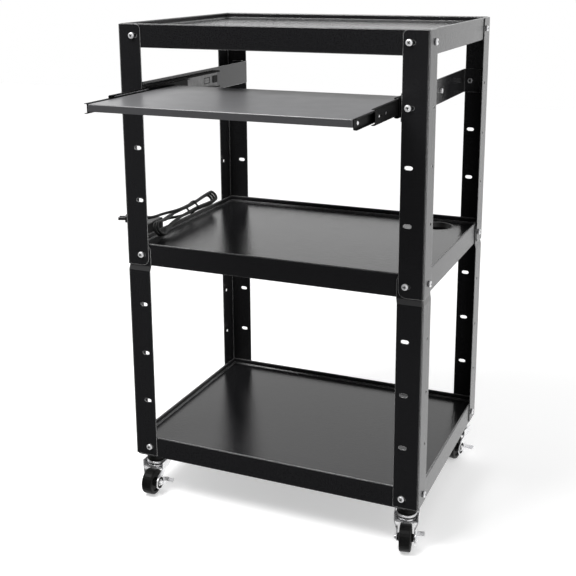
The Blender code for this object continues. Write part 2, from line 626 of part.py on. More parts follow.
for side, sign in SIDES.items():
    place = side_place(sign)

    # Bracket: a bar with a tab bent out at each end, bolted inside the legs' flanges
    line = [(-BRACKET_TAB, -tab_face + BRACKET_SHEET / 2), (-bracket_back / 2, -tab_face + BRACKET_SHEET / 2),
            (-bracket_back / 2, tab_face - BRACKET_SHEET / 2), (-BRACKET_TAB, tab_face - BRACKET_SHEET / 2)]
    builder = bmesh.new()
    prism(builder, bent_strip(line, BRACKET_SHEET, BRACKET_BEND, 4), place, bracket_foot,
          bracket_foot + BRACKET_HEIGHT)
    bracket = add_object(side + "_slide_bracket", mesh_from(builder, side + "_slide_bracket"), COAT)
    screws = bmesh.new()
    bolt_x = sign * (HALF_WIDTH - HOLE_FROM_CORNER) - SCREW_SHIFTS["slide"]
    for end in (-1, 1):
        screw(screws, lambda u, v, w: (bolt_x + u, end * (HALF_DEPTH + w), SLIDE_HEIGHT + v),
              -ONE_LEG_INSET - SCREW_REACH, SEAT_GAP, SCREW_HEAD_RADIUS, SCREW_HEAD_HEIGHT,
              SCREW_SHANK_RADIUS)
    combine(bracket, screws, "UNION")
    holes = bmesh.new()
    for y in outer_bolts:
        lathe(holes, [(SMALL_SHANK_RADIUS + HOLE_CLEARANCE, -BRACKET_SHEET - CUT_OVERRUN),
                      (SMALL_SHANK_RADIUS + HOLE_CLEARANCE, CUT_OVERRUN)],
              lambda u, v, w: place(w, y + u, SLIDE_HEIGHT + v), 10)
    combine(bracket, holes, "DIFFERENCE")

    # Outer member, bolted through the bracket with nuts on its far side
    section = bent_strip(channel(SEAT_GAP, OUTER_DEPTH, OUTER_HEIGHT, OUTER_LIP), SLIDE_SHEET, SLIDE_BEND, 2)
    outer = slide_member(side + "_slide_outer", sign, section, OUTER_FRONT, OUTER_LENGTH)
    bolts = bmesh.new()
    web_face = SEAT_GAP + SLIDE_SHEET
    nut_seat = -BRACKET_SHEET - SEAT_GAP
    for y in outer_bolts:
        lathe(bolts, [(NUT_RADIUS, nut_seat - NUT_HEIGHT), (NUT_RADIUS, nut_seat),
                      (SMALL_SHANK_RADIUS, nut_seat), (SMALL_SHANK_RADIUS, web_face - SLIDE_SHEET / 2)],
              lambda u, v, w: place(w, y + u, SLIDE_HEIGHT + v), 6)
    combine(outer, bolts, "UNION")

    # Rear bumper on the outer member's web
    builder = bmesh.new()
    rear = OUTER_FRONT + OUTER_LENGTH
    prism(builder, rounded_box(BUMPER_LENGTH / 2, BUMPER_HEIGHT / 2, BUMPER_HEIGHT / 8, 2),
          lambda u, v, w: place(w, rear - BUMPER_LENGTH / 2 + u, SLIDE_HEIGHT + v),
          web_face + SEAT_GAP, web_face + SEAT_GAP + BUMPER_THICKNESS)
    add_object(side + "_slide_bumper", mesh_from(builder, side + "_slide_bumper"), RUBBER)

    # Intermediate member with its weight-saving slots
    section = bent_strip(channel(MIDDLE_WEB, middle_open, MIDDLE_HEIGHT), SLIDE_SHEET, SLIDE_BEND, 2)
    middle = slide_member(side + "_slide_intermediate", sign, section, MIDDLE_FRONT, MIDDLE_LENGTH)
    holes = bmesh.new()
    hole_size = MIDDLE_HEIGHT / 6
    for share, length_factor in ((0.1, 1), (0.2, 2.5), (0.5, 2.5), (0.85, 2.5)):
        prism(holes, slot_outline(MIDDLE_FRONT + share * MIDDLE_LENGTH, 0.0, hole_size * length_factor, hole_size),
              lambda u, v, w: place(w, u, SLIDE_HEIGHT + v), MIDDLE_WEB - CUT_OVERRUN / 2,
              MIDDLE_WEB + CUT_OVERRUN)
    combine(middle, holes, "DIFFERENCE")

    # Inner member, screwed to the tray's side
    section = bent_strip(channel(inner_web, inner_open, INNER_HEIGHT), SLIDE_SHEET, SLIDE_BEND, 2)
    inner = slide_member(side + "_slide_inner", sign, section, TRAY_FRONT, TRAY_LENGTH + INNER_PAST_TRAY)
    screws = bmesh.new()
    for y in inner_screws:
        screw(screws, lambda u, v, w: place(-w, y + u, SLIDE_HEIGHT + v), -inner_web - SCREW_REACH / 2,
              -inner_web + SLIDE_SHEET - SEAT_GAP, SMALL_HEAD_RADIUS, SMALL_HEAD_HEIGHT, SMALL_SHANK_RADIUS, 10)
    combine(inner, screws, "UNION")

    # Ball cages between the members
    ball_cage(side + "_outer_ball_cage", sign, (web_face + MIDDLE_WEB) / 2, OUTER_DEPTH - 2 * SLIDE_SHEET,
              outer_row, OUTER_FRONT + OUTER_CAGE_BEHIND_FRONT, OUTER_CAGE_LENGTH)
    ball_cage(side + "_inner_ball_cage", sign, (MIDDLE_WEB + SLIDE_SHEET + inner_open) / 2, middle_open,
              inner_row, MIDDLE_FRONT + INNER_CAGE_BEHIND_FRONT, INNER_CAGE_LENGTH)

# Tray: a pan turned down on all four sides
tray_half_y = TRAY_LENGTH / 2
tray_middle = TRAY_FRONT + tray_half_y
bend = TRAY_CORNER_RADIUS
profile = arc((bend, -bend), bend, 90, 180, 3) + [(0.0, -TRAY_LIP), (TRAY_SHEET, -TRAY_LIP)]
profile += arc((bend, -bend), bend - TRAY_SHEET, 180, 90, 3)
builder = bmesh.new()
loft(builder, [[(x, y + tray_middle, z) for x, y, z in
                frame_ring(TRAY_HALF_WIDTH, tray_half_y, distance, TRAY_TOP + drop, TRAY_CORNER_RADIUS, 2)]
               for distance, drop in profile])
tray = add_object("keyboard_tray", mesh_from(builder, "keyboard_tray"), COAT,
                  pivot=(0.0, tray_middle, SLIDE_HEIGHT), smooth_degrees=40)
holes = bmesh.new()
for side, sign in SIDES.items():
    place = side_place(sign)
    for y in inner_screws:
        lathe(holes, [(SMALL_SHANK_RADIUS + HOLE_CLEARANCE, SLIDE_THICKNESS - CUT_OVERRUN / 2),
                      (SMALL_SHANK_RADIUS + HOLE_CLEARANCE, SLIDE_THICKNESS + CUT_OVERRUN)],
              lambda u, v, w: place(w, y + u, SLIDE_HEIGHT + v), 10)
combine(tray, holes, "DIFFERENCE")

# Power box on the outside of the middle shelf's left rim
box_mid_y = (BOX_FRONT + BOX_REAR) / 2
box_mid_z = (BOX_TOP + BOX_FOOT) / 2
box_half_y = BOX_LENGTH / 2
box_half_z = (BOX_TOP - BOX_FOOT) / 2
plate_face = BOX_OUTER_SIDE
housing_face = plate_face + PLATE_THICKNESS + SEAT_GAP
builder = bmesh.new()
rings = []
for depth, shrink in ((housing_face, BOX_EDGE / 2), (housing_face + BOX_EDGE / 2, 0.0),
                      (BOX_INNER_SIDE - BOX_EDGE / 2, 0.0), (BOX_INNER_SIDE, BOX_EDGE / 2)):
    outline = rounded_box(box_half_y - shrink, box_half_z - shrink, BOX_EDGE)
    rings.append([(depth, box_mid_y + u, box_mid_z + v) for u, v in outline])
loft(builder, rings)
add_object("power_box_housing", mesh_from(builder, "power_box_housing"), PLASTIC, smooth_degrees=40)

plate_y = box_half_y - PLATE_MARGIN
plate_z = box_half_z - PLATE_MARGIN
builder = bmesh.new()
prism(builder, rounded_box(plate_y, plate_z, BOX_EDGE), lambda u, v, w: (w, box_mid_y + u, box_mid_z + v),
      plate_face, plate_face + PLATE_THICKNESS)
plate = add_object("outlet_plate", mesh_from(builder, "outlet_plate"), PLASTIC)
holes = bmesh.new()
for i in (-1, 0, 1):
    middle = box_mid_z + i * OUTLET_PITCH
    for hand in (-1, 1):
        slot = rounded_box(OUTLET_SLOT_HEIGHT / 2, OUTLET_SLOT_WIDTH / 2, OUTLET_SLOT_WIDTH / 6, 1)
        prism(holes, slot, lambda u, v, w: (w, box_mid_y + OUTLET_PIN_DROP / 3 + u,
                                            middle + hand * OUTLET_SLOT_GAP / 2 + v),
              plate_face - CUT_OVERRUN / 2, plate_face + PLATE_THICKNESS + CUT_OVERRUN)
    lathe(holes, [(OUTLET_PIN_RADIUS, plate_face - CUT_OVERRUN / 2),
                  (OUTLET_PIN_RADIUS, plate_face + PLATE_THICKNESS + CUT_OVERRUN)],
          lambda u, v, w: (w, box_mid_y - 2 * OUTLET_PIN_DROP / 3 + u, middle + v), 10)
combine(plate, holes, "DIFFERENCE")

# Cord: a strain relief, a lead up to the hank, the hank on the rim and box, and the tail to the plug
gland_x = BOX_INNER_SIDE - GLAND_OUT
gland_z = RIM_TOPS["middle"] + GLAND_ABOVE_RIM
gland_start = BOX_REAR + SEAT_GAP
gland_end = gland_start + GLAND_LENGTH
builder = bmesh.new()
lathe(builder, [(GLAND_BASE_RADIUS, gland_start), (GLAND_BASE_RADIUS, gland_start + GLAND_LENGTH / 6),
                (GLAND_BASE_RADIUS * 0.85, gland_start + GLAND_LENGTH / 4), (CORD_RADIUS * 1.15, gland_end)],
      lambda u, v, w: (gland_x + u, w, gland_z + v), 12)
add_object("cord_strain_relief", mesh_from(builder, "cord_strain_relief"), RUBBER, smooth_degrees=50)



def eased(share):
    """A share between nought and one that starts and stops gently."""
    share = min(max(share, 0.0), 1.0)
    return share * share * (3 - 2 * share)


def hank_section(along):
    """The hank at one place along the rim: its lowest strand, its width and its lean."""
    stations = HANK_STATIONS
    for near, far in zip(stations, stations[1:]):
        if along <= far[0]:
            share = eased((along - near[0]) / (far[0] - near[0]))
            return [a + (b - a) * share for a, b in zip(near[1:], far[1:])]
    return list(stations[-1][1:])


def hank_point(turns):
    """A point of the hank, whose long loops lie beside each other and lean on the box."""
    quarter = turns * 4 % 4
    share = quarter % 1
    near, far = HANK_STATIONS[0][0], HANK_STATIONS[-1][0]
    if quarter < 1:
        along, side, reach = near + (far - near) * share, -1.0, 0.0
    elif quarter < 2:
        along, side, reach = far, -math.cos(math.pi * share), math.sin(math.pi * share)
    elif quarter < 3:
        along, side, reach = far - (far - near) * share, 1.0, 0.0
    else:
        along, side, reach = near, math.cos(math.pi * share), -math.sin(math.pi * share)
    out, up, width, lean = hank_section(along)
    tilt = math.radians(lean)
    spread = width / 2 * (1 + side)
    stack = (turns - HANK_START) * HANK_PITCH
    return Vector((rim_line - out - spread * math.cos(tilt) + stack * math.sin(tilt),
                   along + reach * width / 2,
                   rim_rest + up + spread * math.sin(tilt) + stack * math.cos(tilt)))


rim_line = -MIDDLE_RIM_SIDE + RIM_THICKNESS / 2
rim_rest = RIM_TOPS["middle"] + SEAT_GAP + CORD_RADIUS


def bow(start, start_way, end, end_way, pull=1.0):
    """A smooth run of cord between two ends, straight for one diameter at each."""
    straight = CORD_DIAMETER
    first, last = start + start_way * straight, end - end_way * straight
    reach = (last - first).length
    steps = max(6, round(reach / (2.2 * CORD_DIAMETER)))
    route = [start]
    for i in range(steps + 1):
        t = i / steps
        route.append(first * (2 * t ** 3 - 3 * t ** 2 + 1) + start_way * reach * pull * (t ** 3 - 2 * t ** 2 + t)
                     + last * (3 * t ** 2 - 2 * t ** 3) + end_way * reach * pull * (t ** 3 - t ** 2))
    route.append(end)
    return route


def tube(name, route, resolution):
    """A round cord along a route, closed at both ends."""
    curve = bpy.data.curves.new(name, "CURVE")
    curve.dimensions = "3D"
    curve.bevel_depth = CORD_RADIUS
    curve.bevel_resolution = resolution
    curve.use_fill_caps = True
    spline = curve.splines.new("POLY")
    spline.points.add(len(route) - 1)
    for point, place_at in zip(spline.points, route):
        point.co = (*place_at, 1.0)
    made = bpy.data.objects.new(name, curve)
    bpy.context.scene.collection.objects.link(made)
    made.parent = origin
    curve.materials.append(JACKET)
    return made


def route_length(route):
    """Length of a route along its points."""
    return sum((b - a).length for a, b in zip(route, route[1:]))


def least_self_gap(route):
    """Least clear distance between stretches of a tube that lie well apart along it."""
    least = 1.0
    skip = 2.5 * CORD_DIAMETER
    runs = [0.0]
    for a, b in zip(route, route[1:]):
        runs.append(runs[-1] + (b - a).length)
    for i in range(len(route) - 1):
        for j in range(i + 2, len(route) - 1):
            if runs[j] - runs[i + 1] < skip:
                continue
            least = min(least, segment_gap(route[i], route[i + 1], route[j], route[j + 1]))
    return least - CORD_DIAMETER


def segment_gap(a, b, c, d):
    """Least distance between two straight stretches, sampled along both."""
    samples = [i / 4 for i in range(5)]
    return min((a.lerp(b, s) - c.lerp(d, t)).length for s in samples for t in samples)


hank_steps = round((HANK_END - HANK_START) * HANK_POINTS_PER_TURN)
hank = [hank_point(HANK_START + (HANK_END - HANK_START) * i / hank_steps) for i in range(hank_steps + 1)]
hank_in = (hank[1] - hank[0]).normalized()
hank_out = (hank[-1] - hank[-2]).normalized()
tube("cord_hank", hank, 1)

lead = bow(Vector((gland_x, gland_end + SEAT_GAP, gland_z)), Vector((0.0, 1.0, 0.0)),
           hank[0] - hank_in * SEAT_GAP, hank_in)
tube("cord_lead", lead, 2)

# Plug lying on the box, its blades beyond it
heading = math.radians(PLUG_HEADING_DEGREES)
plug_way = Vector((math.cos(heading), math.sin(heading), 0.0))
plug_side = Vector((-plug_way.y, plug_way.x, 0.0))
plug_mouth = Vector((BOX_INNER_SIDE - PLUG_IN_FROM_BOX_SIDE, BOX_FRONT + PLUG_BACK_FROM_BOX_FRONT,
                     BOX_TOP + SEAT_GAP + PLUG_HEIGHT / 2))


def plug_place(u, v, w):
    """Maps (across, up, along) on the plug to the cart's frame."""
    return plug_mouth + plug_side * u + Vector((0.0, 0.0, v)) + plug_way * w


crest = Vector((rim_line - TAIL_CREST[1], TAIL_CREST[0], rim_rest + TAIL_CREST[2]))
crest_way = Vector(TAIL_CREST_WAY).normalized()
tail = bow(hank[-1] + hank_out * SEAT_GAP, hank_out, crest, crest_way)
tail += bow(crest, crest_way, plug_mouth - plug_way * SEAT_GAP, plug_way)[1:]
tube("cord_tail", tail, 2)

builder = bmesh.new()
sections = [(0.0, 0.45), (PLUG_LENGTH * 0.3, 0.55), (PLUG_LENGTH * 0.55, 1.0), (PLUG_LENGTH, 1.0)]
loft(builder, [[plug_place(u, v, w) for u, v in
                rounded_box(PLUG_WIDTH / 2 * share, PLUG_HEIGHT / 2 * max(share, 0.6), PLUG_HEIGHT / 5)]
               for w, share in sections])
plug = add_object("plug", mesh_from(builder, "plug"), PLASTIC)
blades = bmesh.new()
for hand in (-1, 1):
    middle = hand * OUTLET_SLOT_GAP / 2
    prism(blades, rounded_box(BLADE_THICKNESS / 2, BLADE_HEIGHT / 2, BLADE_THICKNESS / 5, 1),
          lambda u, v, w: plug_place(middle + u, v, w), PLUG_LENGTH * 0.9, PLUG_LENGTH + BLADE_LENGTH)
combine(plug, blades, "UNION")

# Tie round the hank's waist
out, up, width, lean = hank_section(TIE_ALONG)
tilt = math.radians(lean)
span = Vector((-math.cos(tilt), 0.0, math.sin(tilt)))
rise = Vector((math.sin(tilt), 0.0, math.cos(tilt)))
crossings = [a.lerp(b, (TIE_ALONG - a.y) / (b.y - a.y)) for a, b in zip(hank, hank[1:])
             if (a.y - TIE_ALONG) * (b.y - TIE_ALONG) < 0]
spans = [point.dot(span) for point in crossings]
rises = [point.dot(rise) for point in crossings]
middle = span * (max(spans) + min(spans)) / 2 + rise * (max(rises) + min(rises)) / 2
room = CORD_RADIUS + SEAT_GAP
half_span = (max(spans) - min(spans)) / 2 + room
half_rise = (max(rises) - min(rises)) / 2 + room
inner_line = rounded_box(half_span, half_rise, room)
outer_line = rounded_box(half_span + TIE_THICKNESS, half_rise + TIE_THICKNESS, room + TIE_THICKNESS)
builder = bmesh.new()
rings = []
for near, far in zip(inner_line, outer_line):
    ring = []
    for (u, v), y in ((near, -1), (far, -1), (far, 1), (near, 1)):
        ring.append(middle + span * u + rise * v + Vector((0.0, TIE_ALONG + y * TIE_LENGTH / 2, 0.0)))
    rings.append(ring)
loft(builder, rings, closed=True)
add_object("cord_tie", mesh_from(builder, "cord_tie"), RUBBER)

print("cord length (m):", round(route_length(lead) + route_length(hank) + route_length(tail), 3))
print("least gap of the hank to itself (mm):", round(1000 * least_self_gap(hank), 2))


# Casters

def frame_of_caster(signs, degrees):
    """Places of a caster: fixed about its stem, and turned with its fork about the stem."""
    stem = Vector((signs[0] * (HALF_WIDTH - CASTER_FROM_FACE), signs[1] * (HALF_DEPTH - CASTER_FROM_FACE), 0.0))
    turn = math.radians(degrees)
    right = Vector((math.cos(turn), math.sin(turn), 0.0))
    back = Vector((-math.sin(turn), math.cos(turn), 0.0))
    up = Vector((0.0, 0.0, 1.0))
    return (stem, lambda u, v, w: stem + Vector((u, v, w)), lambda u, v, w: stem + right * u + back * v + up * w)


crown_top = FORK_CROWN_HEIGHT + FORK_SHEET
race_top = crown_top + RACE_HEIGHT
head_foot = race_top + SEAT_GAP
head_top = CUP_SEAT_HEIGHT - SEAT_GAP
cup_top = RIM_FEET["bottom"] - SEAT_GAP
socket_top = RIM_TOPS["bottom"] - DECK_RECESS - SHELF_SHEET - SEAT_GAP
stem_top = min(head_top + STEM_LENGTH, socket_top - SOCKET_WALL)
arm_foot_out = HUB_WIDTH / 2 + SEAT_GAP + FORK_SHEET
lever_face = arm_foot_out + SEAT_GAP
nut_face = lever_face + LEVER_THICKNESS + SEAT_GAP
axle_head_face = -arm_foot_out - SEAT_GAP
HEAD_SEGMENTS = 24
AXLE_SEGMENTS = 16
WHEEL_SEGMENTS = 28


def make_socket(name, fixed):
    """Black cup under the shelf's rim with the tube that takes the stem."""
    builder = bmesh.new()
    bore = STEM_RADIUS + SEAT_GAP
    lathe(builder, [(CUP_RADIUS - CUP_WALL, CUP_SEAT_HEIGHT), (CUP_RADIUS, CUP_SEAT_HEIGHT + CUP_WALL),
                    (CUP_RADIUS, cup_top - CUP_WALL / 2), (CUP_RADIUS - CUP_WALL / 2, cup_top),
                    (bore + SOCKET_WALL, cup_top), (bore + SOCKET_WALL, socket_top)], fixed, HEAD_SEGMENTS)
    socket = add_object(name, mesh_from(builder, name), COAT, smooth_degrees=40)
    hole = bmesh.new()
    lathe(hole, [(bore, CUP_SEAT_HEIGHT - CUT_OVERRUN), (bore, stem_top + SEAT_GAP)], fixed, AXLE_SEGMENTS)
    combine(socket, hole, "DIFFERENCE")


def make_head(name, fixed):
    """Upper race and stem, which stand still while the fork turns below them."""
    builder = bmesh.new()
    middle = (head_foot + head_top) / 2
    lathe(builder, [(RACE_RADIUS - RACE_WALL, head_foot), (HEAD_RADIUS - RACE_WALL, head_foot + RACE_WALL),
                    (HEAD_RADIUS, middle), (HEAD_RADIUS - RACE_WALL, head_top - RACE_WALL),
                    (RACE_RADIUS - RACE_WALL, head_top), (STEM_RADIUS, head_top), (STEM_RADIUS, stem_top)],
          fixed, HEAD_SEGMENTS)
    add_object(name, mesh_from(builder, name), ZINC, smooth_degrees=40)


def arm_rings(hand, turned):
    """Level rings of a fork arm: round at its foot, upright to its knee, leaning out, then a shoulder."""
    top = FORK_CROWN_HEIGHT + FORK_SHEET / 2
    knee = WHEEL_RADIUS + LEVER_DISC_RADIUS + SEAT_GAP
    share = (knee - WHEEL_RADIUS) / (top - WHEEL_RADIUS)
    foot_front, foot_back = -CASTER_TRAIL - FORK_ARM_FOOT_RADIUS, -CASTER_TRAIL + FORK_ARM_FOOT_RADIUS
    top_front, top_back = -FORK_ARM_TOP / 2, FORK_ARM_TOP / 2
    levels = []
    for turn in (math.radians(degrees) for degrees in (15, 45, 70, 90)):
        reach = FORK_ARM_FOOT_RADIUS * math.sin(turn)
        levels.append((WHEEL_RADIUS - FORK_ARM_FOOT_RADIUS * math.cos(turn),
                       -CASTER_TRAIL - reach, -CASTER_TRAIL + reach, arm_foot_out))
    levels.append((knee, foot_front + (top_front - foot_front) * share,
                   foot_back + (top_back - foot_back) * share, arm_foot_out))
    for height in (top, crown_top + FORK_SHOULDER_RISE):
        levels.append((height, top_front, top_back, FORK_CROWN_HALF_WIDTH))
    return [[turned(hand * (out - FORK_SHEET), front, height), turned(hand * out, front, height),
             turned(hand * out, back, height), turned(hand * (out - FORK_SHEET), back, height)]
            for height, front, back, out in levels]


def make_fork(name, pivot, turned):
    """Pressed fork: a crown with its race ring and two arms that lean in to the axle."""
    builder = bmesh.new()
    prism(builder, rounded_box(FORK_CROWN_HALF_WIDTH, FORK_CROWN_HALF_DEPTH, FORK_CROWN_CORNER), turned,
          FORK_CROWN_HEIGHT, crown_top)
    fork = add_object(name, mesh_from(builder, name), ZINC, pivot=pivot, smooth_degrees=40)
    race = bmesh.new()
    lathe(race, [(RACE_RADIUS, crown_top - FORK_SHEET / 2), (RACE_RADIUS, race_top - RACE_WALL),
                 (RACE_RADIUS - RACE_WALL, race_top)], turned, HEAD_SEGMENTS)
    for hand in (-1, 1):
        loft(race, arm_rings(hand, turned))
    combine(fork, race, "UNION")
    hole = bmesh.new()
    lathe(hole, [(AXLE_RADIUS + HOLE_CLEARANCE, -FORK_CROWN_HALF_WIDTH - CUT_OVERRUN),
                 (AXLE_RADIUS + HOLE_CLEARANCE, FORK_CROWN_HALF_WIDTH + CUT_OVERRUN)],
          lambda u, v, w: turned(w, -CASTER_TRAIL + u, WHEEL_RADIUS + v), AXLE_SEGMENTS)
    combine(fork, hole, "DIFFERENCE")


def make_wheel(name, pivot, turned):
    """Wheel with a rounded tread, a dished side and a hub, open for the axle."""
    half = WHEEL_WIDTH / 2
    hub = HUB_WIDTH / 2
    dish = half - WHEEL_DISH
    rim = WHEEL_RADIUS * WHEEL_RIM_SHARE
    bore = AXLE_RADIUS + RUNNING_CLEARANCE
    side = [(HUB_RADIUS - WHEEL_EDGE / 2, hub), (bore, hub)]
    tread = [(WHEEL_RADIUS - offset, half - WHEEL_EDGE + rise_up) for rise_up, offset in
             ((0.0, 0.0), (WHEEL_EDGE * 0.7, WHEEL_EDGE * 0.3), (WHEEL_EDGE, WHEEL_EDGE))]
    upper = tread + [(rim, half), (rim - WHEEL_EDGE / 2, dish), (HUB_RADIUS + WHEEL_EDGE / 2, dish)] + side
    lower = [(radius, -along) for radius, along in upper]
    builder = bmesh.new()
    ring_lathe(builder, list(reversed(lower)) + upper,
               lambda u, v, w: turned(w, -CASTER_TRAIL + u, WHEEL_RADIUS + v), WHEEL_SEGMENTS)
    add_object(name, mesh_from(builder, name), RUBBER, pivot=pivot, smooth_degrees=35)


def make_axle(name, turned):
    """Axle bolt with a head outside each fork arm."""
    builder = bmesh.new()
    lathe(builder, [(AXLE_HEAD_RADIUS * 0.8, axle_head_face - AXLE_HEAD_HEIGHT),
                    (AXLE_HEAD_RADIUS, axle_head_face), (AXLE_RADIUS, axle_head_face), (AXLE_RADIUS, nut_face),
                    (AXLE_HEAD_RADIUS, nut_face), (AXLE_HEAD_RADIUS * 0.8, nut_face + AXLE_HEAD_HEIGHT)],
          lambda u, v, w: turned(w, -CASTER_TRAIL + u, WHEEL_RADIUS + v), AXLE_SEGMENTS)
    add_object(name, mesh_from(builder, name), ZINC, smooth_degrees=40)


def make_lever(name, pivot, turned):
    """Brake lever: a disc on the axle with an arm back to a foot wing that stands out."""
    builder = bmesh.new()
    reach = LEVER_REACH
    outline = arc((0.0, 0.0), LEVER_DISC_RADIUS, 30, 300, 12)
    outline += [(reach, -LEVER_WING_DROP - LEVER_WING_WIDTH / 2), (reach, -LEVER_WING_DROP + LEVER_WING_WIDTH / 2)]
    prism(builder, outline, lambda u, v, w: turned(w, -CASTER_TRAIL + u, WHEEL_RADIUS + v),
          lever_face, lever_face + LEVER_THICKNESS)
    lever = add_object(name, mesh_from(builder, name), ZINC, pivot=pivot)
    wing = bmesh.new()
    tilt = LEVER_WING_TILT
    plate = rounded_box(LEVER_WING_WIDTH / 2, LEVER_THICKNESS / 2, LEVER_THICKNESS / 3, 1)
    centre = (reach - LEVER_WING_WIDTH / 2, -LEVER_WING_DROP)
    prism(wing, plate, lambda u, v, w: turned(w, -CASTER_TRAIL + centre[0] + u * math.cos(tilt) - v * math.sin(tilt),
                                              WHEEL_RADIUS + centre[1] + u * math.sin(tilt) + v * math.cos(tilt)),
          lever_face + LEVER_THICKNESS / 2, lever_face + LEVER_WING_REACH)
    combine(lever, wing, "UNION")
    hole = bmesh.new()
    lathe(hole, [(AXLE_RADIUS + RUNNING_CLEARANCE, lever_face - CUT_OVERRUN),
                 (AXLE_RADIUS + RUNNING_CLEARANCE, lever_face + LEVER_THICKNESS + CUT_OVERRUN)],
          lambda u, v, w: turned(w, -CASTER_TRAIL + u, WHEEL_RADIUS + v), AXLE_SEGMENTS)
    combine(lever, hole, "DIFFERENCE")


for corner, signs in CORNERS.items():
    stem, fixed, turned = frame_of_caster(signs, SWIVEL_DEGREES[corner])
    hub_centre = turned(0.0, -CASTER_TRAIL, WHEEL_RADIUS)
    make_socket(corner + "_stem_socket", fixed)
    make_head(corner + "_caster_head", fixed)
    make_fork(corner + "_fork", stem + Vector((0.0, 0.0, crown_top)), turned)
    make_wheel(corner + "_wheel", hub_centre, turned)
    make_axle(corner + "_axle", turned)
    make_lever(corner + "_brake_lever", hub_centre, turned)
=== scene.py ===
"""Looks of the audio visual cart: materials, screw heads, caster and slide details, cord, light
and camera."""

import json
import math

import bmesh
import bpy
from mathutils import Matrix, Vector

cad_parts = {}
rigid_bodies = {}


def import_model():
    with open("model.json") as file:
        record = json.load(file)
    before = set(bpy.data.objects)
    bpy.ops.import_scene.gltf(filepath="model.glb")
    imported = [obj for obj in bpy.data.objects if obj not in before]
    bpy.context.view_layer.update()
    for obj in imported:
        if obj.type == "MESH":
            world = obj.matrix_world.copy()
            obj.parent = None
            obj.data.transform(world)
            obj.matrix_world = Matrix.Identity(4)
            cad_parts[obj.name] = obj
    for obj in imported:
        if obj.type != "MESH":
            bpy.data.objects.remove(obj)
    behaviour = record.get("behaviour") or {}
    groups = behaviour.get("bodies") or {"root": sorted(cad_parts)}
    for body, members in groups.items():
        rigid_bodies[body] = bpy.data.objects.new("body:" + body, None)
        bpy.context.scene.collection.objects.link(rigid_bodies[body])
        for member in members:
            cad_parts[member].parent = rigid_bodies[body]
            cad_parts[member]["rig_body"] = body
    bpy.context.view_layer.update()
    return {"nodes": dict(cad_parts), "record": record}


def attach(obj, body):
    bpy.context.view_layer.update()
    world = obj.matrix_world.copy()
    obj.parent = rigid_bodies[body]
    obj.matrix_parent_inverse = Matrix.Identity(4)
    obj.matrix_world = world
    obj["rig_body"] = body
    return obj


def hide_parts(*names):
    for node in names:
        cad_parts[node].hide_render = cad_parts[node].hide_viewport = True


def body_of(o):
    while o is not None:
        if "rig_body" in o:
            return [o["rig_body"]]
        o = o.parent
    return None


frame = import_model()
nodes = frame["nodes"]
scene = bpy.context.scene

# The cart's own frame, in which the sizes below are given, sits here in the row frame
CART = Vector((0.017765228675588274, 0.09985, 0.0))

CART_WIDTH = 0.610
CART_DEPTH = 0.457
HALF_WIDTH = CART_WIDTH / 2
HALF_DEPTH = CART_DEPTH / 2
SEAT_GAP = 0.0003
MIDDLE_RIM_TOP = 0.5475
RIM_THICKNESS = 0.004
MIDDLE_RIM_SIDE = 0.3014


# Materials

BEVEL_SAMPLES = 4
# Noise values between which a ramp runs from its first colour or roughness to its last
EVEN = (0.3, 0.7)
MOSTLY_FIRST = (0.35, 0.75)


